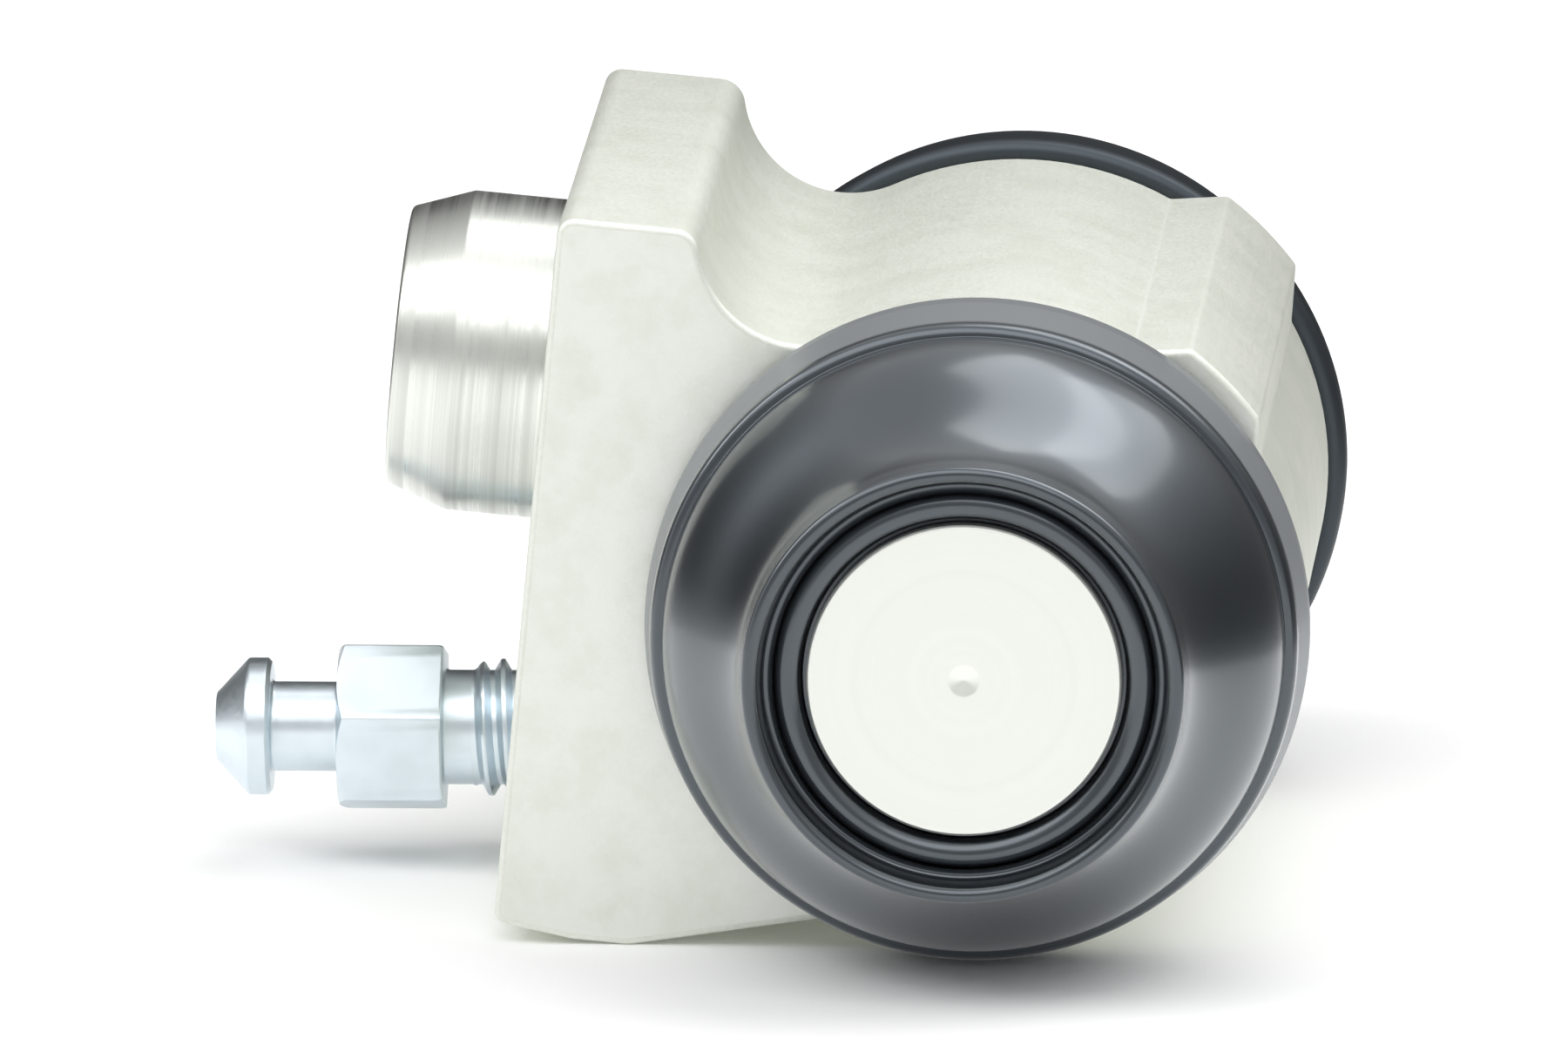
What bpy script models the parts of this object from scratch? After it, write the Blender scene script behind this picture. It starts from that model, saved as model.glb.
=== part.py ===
"""Wheel cylinder of a drum brake, in metres.

+X runs from the mounting face towards the bore, Y runs along the bore and +Z is up.
The origin lies on the mounting face, half way between the two fixing holes.
Turned pieces are profiles of (radius, height) points: a solid's profile starts and ends
on its axis, a ring's profile is closed, and both run down the outer side.
"""

import math

import bmesh
import bpy
from mathutils import Matrix

# Fits and fineness
GAP = 0.0003
RUNNING_GAP = 0.00005
THREAD_GAP = 0.00008
ROUND_STEPS = 32
SMALL_STEPS = 24
ARC_STEP = math.radians(11.25)
BEAD_STEP = math.radians(36)
BELL_TURNS = [math.radians(turn) for turn in (6, 20, 36, 52, 68)]
DRILL_POINT = math.radians(59)

# Body: round part, block and rib share one section, with a bare neck at each end
BORE_RADIUS = 0.01032
BODY_WALL = 0.00758
BODY_LENGTH = 0.049
BODY_EDGE = 0.0003
NECK_WALL = 0.0058
NECK_LENGTH = 0.006
NECK_EDGE = 0.0005
BEAD_GROOVE_START = 0.0007
BEAD_GROOVE_WIDTH = 0.0027
BEAD_GROOVE_DEPTH = 0.001
BORE_EDGE = 0.0005

# Block: heights are measured from the bore's axis
FACE_STANDOFF = 0.00805
BORE_RISE = 0.005
BLOCK_TOP = 0.0208
BLOCK_BOTTOM = 0.02075
BLOCK_THICKNESS = 0.008
BLOCK_CORNER = 0.0015
FACE_TOP_CORNER = 0.001
BLOCK_FILLET = 0.0062
FOOT_LENGTH = 0.00775
FOOT_CORNER = 0.003
FOOT_SLOPE = math.radians(13.7)
FOOT_FILLET = 0.006
HEEL_RELIEF = 0.0005
HEEL_LENGTH = 0.0045
HEEL_CORNER = 0.0007

# Rib along the round part
RIB_ANGLE = math.radians(49.8)
RIB_HEIGHT = 0.002
RIB_FOOT_WIDTH = 0.01
RIB_TOP_WIDTH = 0.0056

# Spigot with the inlet port
SPIGOT_RISE = 0.008
SPIGOT_RADIUS = 0.0092
SPIGOT_LENGTH = 0.0094
SPIGOT_TAPER_LENGTH = 0.0035
SPIGOT_TAPER = 0.00125
SPIGOT_ROOT = 0.003
PORT_RADIUS = 0.0045
PORT_DEPTH = 0.0125
PORT_EDGE = 0.0009
FEED_RADIUS = 0.00125

# Fixing holes
FIXING_SPACING = 0.031
FIXING_RADIUS = 0.0025
FIXING_DEPTH = 0.011
FIXING_EDGE = 0.0008

# Pistons
PISTON_REACH = 0.018
PISTON_LENGTH = 0.03
SKIRT_LENGTH = 0.015
NOSE_STEP = 0.00137
PISTON_EDGE = 0.0004
FACE_EDGE = 0.00015
FACE_FLANGE = 0.001
LIP_GROOVE_WIDTH = 0.0024
LIP_GROOVE_DEPTH = 0.00095
DIMPLE_RADIUS = 0.001
DIMPLE_DEPTH = 0.0006

# Cups and expanders
CUP_LENGTH = 0.0048
CUP_BASE = 0.0022
CUP_LIP = 0.0009
CUP_ROOT = 0.0032
CUP_EDGE = 0.0006
CUP_TIP_EDGE = 0.0003
EXPANDER_SHEET = 0.0006
EXPANDER_FLARE = 0.0018

# Spring
SPRING_RADIUS = 0.004
SPRING_WIRE = 0.0011
SPRING_TURNS = 6
SPRING_STEPS = 12
CLOSED_TURN = 1.06

# Dust boots
COLLAR_WALL = 0.00248
COLLAR_LENGTH = 0.0022
COLLAR_EDGE = 0.0008
RING_TAPER = 0.0005
RING_EDGE = 0.0007
RING_LEAD = 0.0009
BOOT_WALL = 0.0013
LIP_LEAD = 0.0002
LIP_RADIUS = 0.0006
VALLEY_RADIUS = 0.0004
VALLEY_DEPTH = 0.0022
CREST_OUT = 0.00125
CREST_RADIUS = 0.00045
CREST_LEAD = 0.0017
BELL_CURVE = 1.8

# Bleed screw: heights are measured along its axis from the mounting face
BLEED_DROP = 0.0136
BLEED_TILT = math.radians(5.5)
BLEED_HOLE_RADIUS = 0.00403
BLEED_HOLE_DEPTH = 0.0123
BLEED_HOLE_EDGE = 0.001
BLEED_SEAT_RADIUS = 0.0034
BLEED_SEAT_STRAIGHT = 0.0013
PASSAGE_RADIUS = 0.0016
PASSAGE_STOP = 0.0005
THREAD_OUT = 0.0032
RELIEF_LENGTH = 0.0016
RELIEF_RADIUS = 0.0033
HEX_ACROSS_FLATS = 0.009
HEX_LENGTH = 0.00605
HEX_TURN = math.radians(16)
HEX_CHAMFER = math.radians(30)
NIPPLE_NECK_RADIUS = 0.00258
NIPPLE_NECK_LENGTH = 0.0039
BARB_RADIUS = 0.00395
BARB_LENGTH = 0.0032
BARB_BAND = 0.0011
BARB_EDGE = 0.00025
BARB_TIP_RADIUS = 0.0022
PILOT_RADIUS = 0.0022
SCREW_CONE = math.radians(30)
SCREW_TIP_RADIUS = 0.0006
DRILLED_RADIUS = 0.0009
CROSS_HOLE_RADIUS = 0.0007
CROSS_HOLE_RISE = 0.0009

# Worked out from the sizes above
BODY_RADIUS = BORE_RADIUS + BODY_WALL
NECK_RADIUS = BORE_RADIUS + NECK_WALL
FACE_OFFSET = BODY_RADIUS + FACE_STANDOFF
BODY_END = BODY_LENGTH / 2
NECK_END = BODY_END + NECK_LENGTH
PISTON_FACE = BODY_END + PISTON_REACH
PISTON_INNER_END = PISTON_FACE - PISTON_LENGTH
SKIRT_RADIUS = BORE_RADIUS - RUNNING_GAP
NOSE_RADIUS = BORE_RADIUS - NOSE_STEP
CUP_BACK = PISTON_INNER_END - GAP
CUP_FLOOR = CUP_BACK - CUP_BASE
EXPANDER_BACK = CUP_FLOOR - GAP
EXPANDER_FLOOR = EXPANDER_BACK - EXPANDER_SHEET
SPRING_END = EXPANDER_FLOOR - GAP
HEX_START = THREAD_OUT + RELIEF_LENGTH
HEX_END = HEX_START + HEX_LENGTH
BARB_START = HEX_END + NIPPLE_NECK_LENGTH
SCREW_END = BARB_START + BARB_LENGTH


def clear_scene():
    """Remove every object, so the script can be run again in the same file."""
    for thing in list(bpy.data.objects):
        bpy.data.objects.remove(thing, do_unlink=True)


def new_collection(name):
    """Return an empty collection of this name, linked to the scene."""
    old = bpy.data.collections.get(name)
    if old:
        bpy.data.collections.remove(old)
    made = bpy.data.collections.new(name)
    bpy.context.scene.collection.children.link(made)
    return made


def new_material(name, colour, metallic, roughness):
    """Return a Principled material."""
    material = bpy.data.materials.get(name) or bpy.data.materials.new(name)
    material.use_nodes = True
    shader = material.node_tree.nodes["Principled BSDF"]
    shader.inputs["Base Color"].default_value = (*colour, 1)
    shader.inputs["Metallic"].default_value = metallic
    shader.inputs["Roughness"].default_value = roughness
    material.diffuse_color = (*colour, 1)
    return material


def place(thing, home, material=None, cutter=False):
    """Link an object to its collection and give it its material, or mark it as a cutter."""
    home.objects.link(thing)
    if material:
        thing.data.materials.append(material)
    if cutter:
        thing.hide_render = True
        thing.display_type = "WIRE"
    return thing


def carry(empty, thing, turn=(0, 0, 0), at=(0, 0, 0)):
    """Put an object in the frame of an empty."""
    thing.parent = empty
    thing.location = at
    thing.rotation_euler = turn
    return thing


def combine(target, operation, tool):
    """Add an exact Boolean modifier to the target."""
    modifier = target.modifiers.new(tool.name, "BOOLEAN")
    modifier.operation = operation
    modifier.solver = "EXACT"
    modifier.object = tool


def turned(name, profile, steps, closed=False):
    """Return an object turned from a profile about its own Z axis."""
    mesh = bpy.data.meshes.new(name)
    points = [(radius, 0, height) for radius, height in profile]
    edges = [(i, i + 1) for i in range(len(points) - 1)]
    if closed:
        edges.append((len(points) - 1, 0))
    mesh.from_pydata(points, edges, [])
    thing = bpy.data.objects.new(name, mesh)
    screw = thing.modifiers.new("turned", "SCREW")
    screw.axis = "Z"
    screw.steps = steps
    screw.render_steps = steps
    screw.use_merge_vertices = True
    screw.merge_threshold = 0.00001
    return thing


def arc(centre, radius, start, end, step=ARC_STEP):
    """Return points on a circle from one angle to another, both included."""
    count = max(1, math.ceil(abs(end - start) / step - 0.001))
    angles = [start + (end - start) * i / count for i in range(count + 1)]
    return [
        (centre[0] + radius * math.cos(a), centre[1] + radius * math.sin(a))
        for a in angles
    ]


def offset_line(points, distance):
    """Return an open line moved sideways, to the left of its direction of travel."""
    moved = []
    for i, (x, y) in enumerate(points):
        before = points[max(i - 1, 0)]
        after = points[min(i + 1, len(points) - 1)]
        dx, dy = after[0] - before[0], after[1] - before[1]
        length = math.hypot(dx, dy)
        moved.append((x - dy / length * distance, y + dx / length * distance))
    return moved


def upper_block():
    """Return the outline from the round part over the block's top to the mounting face.

    The fillet touches the round part and the block's inner side, and the corner touches
    the top and the fillet, so the two arcs meet in one smooth curve.
    """
    face = -FACE_OFFSET
    reach = BODY_RADIUS + BLOCK_FILLET
    fillet_x = face + BLOCK_THICKNESS + BLOCK_FILLET
    fillet_y = math.sqrt(max(reach ** 2 - fillet_x ** 2, 0))
    start = math.atan2(fillet_y, fillet_x)
    corner_y = BLOCK_TOP - BLOCK_CORNER
    span = BLOCK_FILLET + BLOCK_CORNER
    lift = max(-1.0, min(1.0, (corner_y - fillet_y) / span))
    lean = math.asin(lift)
    corner_x = fillet_x - span * math.cos(lean)
    corner_y = fillet_y + span * math.sin(lean)
    fillet = arc((fillet_x, fillet_y), BLOCK_FILLET, start - math.pi, -math.pi - lean)
    corner = arc((corner_x, corner_y), BLOCK_CORNER, -lean, math.pi / 2)
    top_x = face + FACE_TOP_CORNER
    face_corner = arc((top_x, BLOCK_TOP - FACE_TOP_CORNER), FACE_TOP_CORNER, math.pi / 2, math.pi)
    return start, fillet + corner + face_corner


def lower_block():
    """Return the outline from the mounting face under the block to the round part."""
    face, floor = -FACE_OFFSET, -BLOCK_BOTTOM
    heel_centre = (face + HEEL_CORNER, floor + HEEL_RELIEF + HEEL_CORNER)
    heel = arc(heel_centre, HEEL_CORNER, math.pi, 1.5 * math.pi)
    foot_x = face + FOOT_LENGTH - FOOT_CORNER * math.tan(FOOT_SLOPE / 2)
    foot_centre = (foot_x, floor + FOOT_CORNER)
    foot = arc(foot_centre, FOOT_CORNER, 1.5 * math.pi, 1.5 * math.pi + FOOT_SLOPE)
    along = (math.cos(FOOT_SLOPE), math.sin(FOOT_SLOPE))
    out = (math.sin(FOOT_SLOPE), -math.cos(FOOT_SLOPE))
    start = (foot[-1][0] + FOOT_FILLET * out[0], foot[-1][1] + FOOT_FILLET * out[1])
    half = start[0] * along[0] + start[1] * along[1]
    rest = start[0] ** 2 + start[1] ** 2 - (BODY_RADIUS + FOOT_FILLET) ** 2
    travel = -half - math.sqrt(max(half ** 2 - rest, 0))
    centre = (start[0] + travel * along[0], start[1] + travel * along[1])
    end = math.atan2(-centre[1], -centre[0])
    fillet = arc(centre, FOOT_FILLET, math.pi / 2 + FOOT_SLOPE, end)
    return end - math.pi, heel + [(face + HEEL_LENGTH, floor)] + foot + fillet


def body_outline():
    """Return the section of the body, round the bore's axis and anticlockwise."""
    upper_start, upper = upper_block()
    lower_end, lower = lower_block()
    rib_top = BODY_RADIUS + RIB_HEIGHT
    rib_foot = math.asin(RIB_FOOT_WIDTH / 2 / BODY_RADIUS)
    rib_half = math.asin(RIB_TOP_WIDTH / 2 / rib_top)
    middle = (0, 0)
    below = arc(middle, BODY_RADIUS, lower_end, -math.pi / 2)
    quarter = arc(middle, BODY_RADIUS, -math.pi / 2, 0)
    before = arc(middle, BODY_RADIUS, 0, RIB_ANGLE - rib_foot)
    rib = arc(middle, rib_top, RIB_ANGLE - rib_half, RIB_ANGLE + rib_half)
    after = arc(middle, BODY_RADIUS, RIB_ANGLE + rib_foot, upper_start)
    return below[1:] + quarter[1:] + before[1:] + rib + after[:-1] + upper + lower


def extruded_body(name):
    """Return the body's section as a solid along the bore, with its edges broken."""
    curve = bpy.data.curves.new(name, "CURVE")
    curve.dimensions = "2D"
    curve.fill_mode = "BOTH"
    curve.extrude = BODY_END - BODY_EDGE
    curve.bevel_depth = BODY_EDGE
    curve.bevel_resolution = 0
    curve.offset = -BODY_EDGE
    outline = body_outline()
    spline = curve.splines.new("POLY")
    spline.points.add(len(outline) - 1)
    for point, (x, y) in zip(spline.points, outline):
        point.co = (x, y, 0, 1)
    spline.use_cyclic_u = True
    drawn = bpy.data.objects.new(name + "_drawn", curve)
    bpy.context.scene.collection.objects.link(drawn)
    bpy.context.view_layer.update()
    evaluated = drawn.evaluated_get(bpy.context.evaluated_depsgraph_get())
    mesh = bpy.data.meshes.new_from_object(evaluated)
    bpy.data.objects.remove(drawn, do_unlink=True)
    mesh.name = name
    welded = bmesh.new()
    welded.from_mesh(mesh)
    bmesh.ops.remove_doubles(welded, verts=welded.verts, dist=0.000001)
    welded.to_mesh(mesh)
    welded.free()
    return bpy.data.objects.new(name, mesh)


def neck_profile():
    """Return one turned bar that stands out of both ends of the body as its necks."""
    groove_start = BODY_END + BEAD_GROOVE_START
    groove_end = groove_start + BEAD_GROOVE_WIDTH
    half = [
        (NECK_RADIUS - NECK_EDGE, NECK_END),
        (NECK_RADIUS, NECK_END - NECK_EDGE),
        (NECK_RADIUS, groove_end),
        (NECK_RADIUS - BEAD_GROOVE_DEPTH, groove_end),
        (NECK_RADIUS - BEAD_GROOVE_DEPTH, groove_start),
        (NECK_RADIUS, groove_start),
    ]
    other = [(radius, -height) for radius, height in reversed(half)]
    return [(0, NECK_END), *half, *other, (0, -NECK_END)]


def bore_profile():
    """Return the bore's cutter, with a chamfer at each mouth."""
    over = NECK_LENGTH / 2
    half = [
        (BORE_RADIUS + BORE_EDGE + over, NECK_END + over),
        (BORE_RADIUS, NECK_END - BORE_EDGE),
    ]
    other = [(radius, -height) for radius, height in reversed(half)]
    return [(0, NECK_END + over), *half, *other, (0, -NECK_END - over)]


def spigot_profile():
    """Return the spigot, measured outwards from the mounting face."""
    return [
        (0, SPIGOT_LENGTH),
        (SPIGOT_RADIUS - SPIGOT_TAPER, SPIGOT_LENGTH),
        (SPIGOT_RADIUS, SPIGOT_LENGTH - SPIGOT_TAPER_LENGTH),
        (SPIGOT_RADIUS, -SPIGOT_ROOT),
        (0, -SPIGOT_ROOT),
    ]


def drilled_hole(radius, mouth, depth, edge):
    """Return the upper part of a hole's cutter: a countersunk mouth and a straight wall."""
    over = 2 * edge
    return [
        (0, mouth + over),
        (radius + edge + over, mouth + over),
        (radius, mouth - edge),
        (radius, mouth - depth),
    ]


def point_depth(wide, narrow):
    """Return the length of a drill point between two radii."""
    return (wide - narrow) / math.tan(DRILL_POINT)


def inlet_profile():
    """Return the inlet port's cutter: the pipe's hole, its seat and the feed to the bore."""
    hole = drilled_hole(PORT_RADIUS, SPIGOT_LENGTH, PORT_DEPTH, PORT_EDGE)
    seat = hole[-1][1] - point_depth(PORT_RADIUS, FEED_RADIUS)
    return [*hole, (FEED_RADIUS, seat), (FEED_RADIUS, -FACE_OFFSET), (0, -FACE_OFFSET)]


def fixing_profile():
    """Return a fixing hole's cutter."""
    hole = drilled_hole(FIXING_RADIUS, 0, FIXING_DEPTH, FIXING_EDGE)
    return [*hole, (0, hole[-1][1] - point_depth(FIXING_RADIUS, 0))]


def bleed_seat_height():
    """Return the height of the passage's mouth, on which the bleed screw's cone seats."""
    straight = BLEED_HOLE_DEPTH + BLEED_SEAT_STRAIGHT
    return -straight - point_depth(BLEED_SEAT_RADIUS, PASSAGE_RADIUS)


def bleed_hole_profile():
    """Return the bleed hole's cutter: its thread, its seat and the passage to the bore."""
    hole = drilled_hole(BLEED_HOLE_RADIUS, 0, BLEED_HOLE_DEPTH, BLEED_HOLE_EDGE)
    passage_end = -(FACE_OFFSET - PASSAGE_STOP) / math.cos(BLEED_TILT)
    return [
        *hole,
        (BLEED_SEAT_RADIUS, -BLEED_HOLE_DEPTH - (BLEED_HOLE_RADIUS - BLEED_SEAT_RADIUS)),
        (BLEED_SEAT_RADIUS, -BLEED_HOLE_DEPTH - BLEED_SEAT_STRAIGHT),
        (PASSAGE_RADIUS, bleed_seat_height()),
        (PASSAGE_RADIUS, passage_end),
        (0, passage_end),
    ]


def piston_profile():
    """Return a piston: its face, the groove for the boot's lip, its nose and its skirt."""
    flange = PISTON_FACE - FACE_FLANGE
    groove = flange - LIP_GROOVE_WIDTH
    shoulder = PISTON_INNER_END + SKIRT_LENGTH
    return [
        (0, PISTON_FACE - DIMPLE_DEPTH),
        (DIMPLE_RADIUS, PISTON_FACE),
        (NOSE_RADIUS - FACE_EDGE, PISTON_FACE),
        (NOSE_RADIUS, PISTON_FACE - FACE_EDGE),
        (NOSE_RADIUS, flange),
        (NOSE_RADIUS - LIP_GROOVE_DEPTH, flange),
        (NOSE_RADIUS - LIP_GROOVE_DEPTH, groove),
        (NOSE_RADIUS, groove),
        (NOSE_RADIUS, shoulder),
        (SKIRT_RADIUS - PISTON_EDGE, shoulder),
        (SKIRT_RADIUS, shoulder - PISTON_EDGE),
        (SKIRT_RADIUS, PISTON_INNER_END + PISTON_EDGE),
        (SKIRT_RADIUS - PISTON_EDGE, PISTON_INNER_END),
        (0, PISTON_INNER_END),
    ]


def cup_inner_radii():
    """Return the radius inside a cup at its floor and at the end of its lip."""
    return BORE_RADIUS - RUNNING_GAP - CUP_ROOT, BORE_RADIUS - RUNNING_GAP - CUP_LIP


def cup_profile():
    """Return a cup seal: its flat back against the piston, and its lip towards the fluid."""
    outside = BORE_RADIUS - RUNNING_GAP
    floor_radius, lip_radius = cup_inner_radii()
    lip_end = CUP_BACK - CUP_LENGTH
    return [
        (0, CUP_BACK),
        (outside - 2 * CUP_EDGE, CUP_BACK),
        (outside - CUP_EDGE, CUP_BACK - CUP_EDGE),
        (outside - CUP_EDGE / 2, CUP_FLOOR),
        (outside, lip_end + CUP_EDGE),
        (outside - CUP_TIP_EDGE, lip_end),
        (lip_radius, lip_end),
        (floor_radius, CUP_FLOOR),
        (0, CUP_FLOOR),
    ]


def expander_profile():
    """Return a pressed cap whose flared skirt lies along the inside of the cup's lip."""
    floor_radius, lip_radius = cup_inner_radii()
    slope = math.atan2(lip_radius - floor_radius, CUP_LENGTH - CUP_BASE)
    back_radius = floor_radius - GAP / math.cos(slope)
    rim = EXPANDER_BACK - EXPANDER_FLARE
    rim_radius = back_radius + EXPANDER_FLARE * math.tan(slope)
    inward = EXPANDER_SHEET / math.cos(slope)
    floor_inside = back_radius + EXPANDER_SHEET * math.tan(slope) - inward
    return [
        (0, EXPANDER_BACK),
        (back_radius, EXPANDER_BACK),
        (rim_radius, rim),
        (rim_radius - inward, rim),
        (floor_inside, EXPANDER_FLOOR),
        (0, EXPANDER_FLOOR),
    ]


def boot_profile():
    """Return a dust boot's closed section.

    Its bead sits in the neck's groove. The collar is widest near the body and tapers to
    the ring. From the ring's edge the bell closes in to the crest, along
    waist + (shoulder - waist) * cos(turn) ** BELL_CURVE. There it folds back down a flank,
    which touches the arcs of crest and valley, and on to the lip in the piston's groove.
    """
    collar = NECK_RADIUS + GAP + COLLAR_WALL
    ring = collar - RING_TAPER
    shoulder = ring - RING_EDGE
    ring_at = NECK_END + RING_LEAD
    lip = NOSE_RADIUS + GAP
    lip_at = PISTON_FACE + LIP_LEAD - LIP_RADIUS
    valley = lip + 2 * LIP_RADIUS + VALLEY_RADIUS
    crest = valley + CREST_OUT
    crest_at = PISTON_FACE + CREST_LEAD - CREST_RADIUS
    valley_at = crest_at + CREST_RADIUS - VALLEY_DEPTH + VALLEY_RADIUS
    rise, arcs = crest_at - valley_at, VALLEY_RADIUS + CREST_RADIUS
    flank = math.sqrt(CREST_OUT ** 2 + rise ** 2 - arcs ** 2)
    lean = math.atan2(flank, arcs) - math.atan2(rise, CREST_OUT)
    waist = crest + CREST_RADIUS
    bell = [
        (
            waist + (shoulder - waist) * math.cos(turn) ** BELL_CURVE,
            ring_at + (crest_at - ring_at) * turn / (math.pi / 2),
        )
        for turn in BELL_TURNS
    ]
    rim = arc((lip + LIP_RADIUS, lip_at), LIP_RADIUS, math.pi, 0, BEAD_STEP)
    fold = arc((valley, valley_at), VALLEY_RADIUS, math.pi, 2 * math.pi - lean, BEAD_STEP)
    fold += arc((crest, crest_at), CREST_RADIUS, math.pi - lean, 0, BEAD_STEP)
    back = BODY_END + GAP
    edge = arc((shoulder, ring_at - RING_EDGE), RING_EDGE, math.pi / 2, 0, BEAD_STEP)
    heel_at = (collar - COLLAR_EDGE, back + COLLAR_EDGE)
    heel = arc(heel_at, COLLAR_EDGE, 0, -math.pi / 2, BEAD_STEP)
    skirt = [*edge, (collar, back + COLLAR_LENGTH), *heel]
    groove_start = BODY_END + BEAD_GROOVE_START + GAP
    groove_end = BODY_END + BEAD_GROOVE_START + BEAD_GROOVE_WIDTH - GAP
    seat = NECK_RADIUS + GAP
    bead = seat - BEAD_GROOVE_DEPTH
    foot = [
        (seat, back),
        (seat, groove_start),
        (bead, groove_start),
        (bead, groove_end),
        (seat, groove_end),
        (seat, NECK_END + GAP),
    ]
    inside = offset_line([(shoulder, ring_at), *bell], BOOT_WALL)[1:-1]
    under = valley_at - VALLEY_RADIUS - BOOT_WALL
    flange = PISTON_FACE - FACE_FLANGE
    lip_groove = NOSE_RADIUS - LIP_GROOVE_DEPTH + GAP
    lip_back = flange - LIP_GROOVE_WIDTH + GAP
    head = [
        (crest, under + GAP),
        (valley, under),
        (lip + LIP_RADIUS, lip_back),
        (lip_groove, lip_back),
        (lip_groove, flange - GAP),
        (lip, flange - GAP),
    ]
    return rim + fold + list(reversed(bell)) + skirt + foot + inside + head


def screw_profile():
    """Return the bleed screw without its hexagon, from the nipple's end to the cone's tip."""
    thread = BLEED_HOLE_RADIUS - THREAD_GAP
    seat = bleed_seat_height()
    cone_radius = PASSAGE_RADIUS - GAP
    cone_top = seat + (PILOT_RADIUS - cone_radius) / math.tan(SCREW_CONE)
    cone_tip = seat - (cone_radius - SCREW_TIP_RADIUS) / math.tan(SCREW_CONE)
    thread_end = GAP - BLEED_HOLE_DEPTH
    return [
        (0, SCREW_END),
        (BARB_TIP_RADIUS - BARB_EDGE, SCREW_END),
        (BARB_TIP_RADIUS, SCREW_END - BARB_EDGE),
        (BARB_RADIUS, BARB_START + BARB_EDGE + BARB_BAND),
        (BARB_RADIUS, BARB_START + BARB_EDGE),
        (BARB_RADIUS - BARB_EDGE, BARB_START),
        (NIPPLE_NECK_RADIUS, BARB_START),
        (NIPPLE_NECK_RADIUS, HEX_END - HEX_LENGTH / 2),
        (RELIEF_RADIUS, HEX_END - HEX_LENGTH / 2),
        (RELIEF_RADIUS, HEX_START - RELIEF_LENGTH + THREAD_GAP),
        (thread, THREAD_OUT - (thread - RELIEF_RADIUS)),
        (thread, thread_end + (thread - RELIEF_RADIUS)),
        (RELIEF_RADIUS, thread_end),
        (PILOT_RADIUS, thread_end),
        (PILOT_RADIUS, cone_top),
        (SCREW_TIP_RADIUS, cone_tip),
        (0, cone_tip),
    ]


def hexagon(name):
    """Return the bleed screw's hexagon as a prism along Z."""
    mesh = bpy.data.meshes.new(name)
    solid = bmesh.new()
    corner = HEX_ACROSS_FLATS / 2 / math.cos(math.pi / 6)
    middle = Matrix.Translation((0, 0, HEX_START + HEX_LENGTH / 2))
    turn = Matrix.Rotation(HEX_TURN, 4, "Z")
    bmesh.ops.create_cone(
        solid, cap_ends=True, segments=6, radius1=corner, radius2=corner,
        depth=HEX_LENGTH, matrix=middle @ turn,
    )
    solid.to_mesh(mesh)
    solid.free()
    return bpy.data.objects.new(name, mesh)


def hex_chamfer_profile():
    """Return the turned shape that the hexagon's corners are cut back to."""
    inner = HEX_ACROSS_FLATS / 2
    over = HEX_ACROSS_FLATS
    fall = over * math.tan(HEX_CHAMFER)
    middle = HEX_START + HEX_LENGTH / 2
    return [
        (0, HEX_END + GAP),
        (inner - GAP / math.tan(HEX_CHAMFER), HEX_END + GAP),
        (inner + over, HEX_END - fall),
        (inner + over, middle - HEX_LENGTH),
        (0, middle - HEX_LENGTH),
    ]


def spring_coil(name):
    """Return the spring: open turns between one closed turn at each end."""
    curve = bpy.data.curves.new(name, "CURVE")
    curve.dimensions = "3D"
    curve.bevel_depth = SPRING_WIRE / 2
    curve.bevel_resolution = 2
    curve.use_fill_caps = True
    closed = SPRING_WIRE * CLOSED_TURN
    first = SPRING_WIRE / 2 - SPRING_END
    opened = (2 * SPRING_END - SPRING_WIRE - 2 * closed) / (SPRING_TURNS - 2)
    count = SPRING_TURNS * SPRING_STEPS
    spline = curve.splines.new("POLY")
    spline.points.add(count)
    for i, point in enumerate(spline.points):
        turns = i / SPRING_STEPS
        middle = min(max(turns - 1, 0), SPRING_TURNS - 2)
        height = first + closed * (turns - middle) + opened * middle
        angle = 2 * math.pi * turns
        x, y = SPRING_RADIUS * math.cos(angle), SPRING_RADIUS * math.sin(angle)
        point.co = (x, y, height, 1)
    return bpy.data.objects.new(name, curve)


def make_body(home, cutters, bore, port, bleed, face):
    """Make the body: the section, necks and spigot, less its bore and holes."""
    cast = new_material("cast_aluminium", (0.78, 0.79, 0.76), 1.0, 0.5)
    body = place(extruded_body("cylinder_body"), home, cast)
    carry(bore, body)
    tools = [
        ("UNION", turned("necks", neck_profile(), ROUND_STEPS), bore, (0, 0, 0)),
        ("UNION", turned("spigot", spigot_profile(), ROUND_STEPS), port, (0, 0, 0)),
        ("DIFFERENCE", turned("bore", bore_profile(), ROUND_STEPS), bore, (0, 0, 0)),
        ("DIFFERENCE", turned("inlet", inlet_profile(), SMALL_STEPS), port, (0, 0, 0)),
        ("DIFFERENCE", turned("bleed_hole", bleed_hole_profile(), SMALL_STEPS), bleed, (0, 0, 0)),
    ]
    for side in (-1, 1):
        hole = turned(f"fixing_hole_{side:+d}", fixing_profile(), SMALL_STEPS)
        tools.append(("DIFFERENCE", hole, face, (0, side * FIXING_SPACING / 2, 0)))
    for operation, tool, empty, at in tools:
        place(tool, cutters, cutter=True)
        carry(empty, tool, at=at)
        combine(body, operation, tool)


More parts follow.
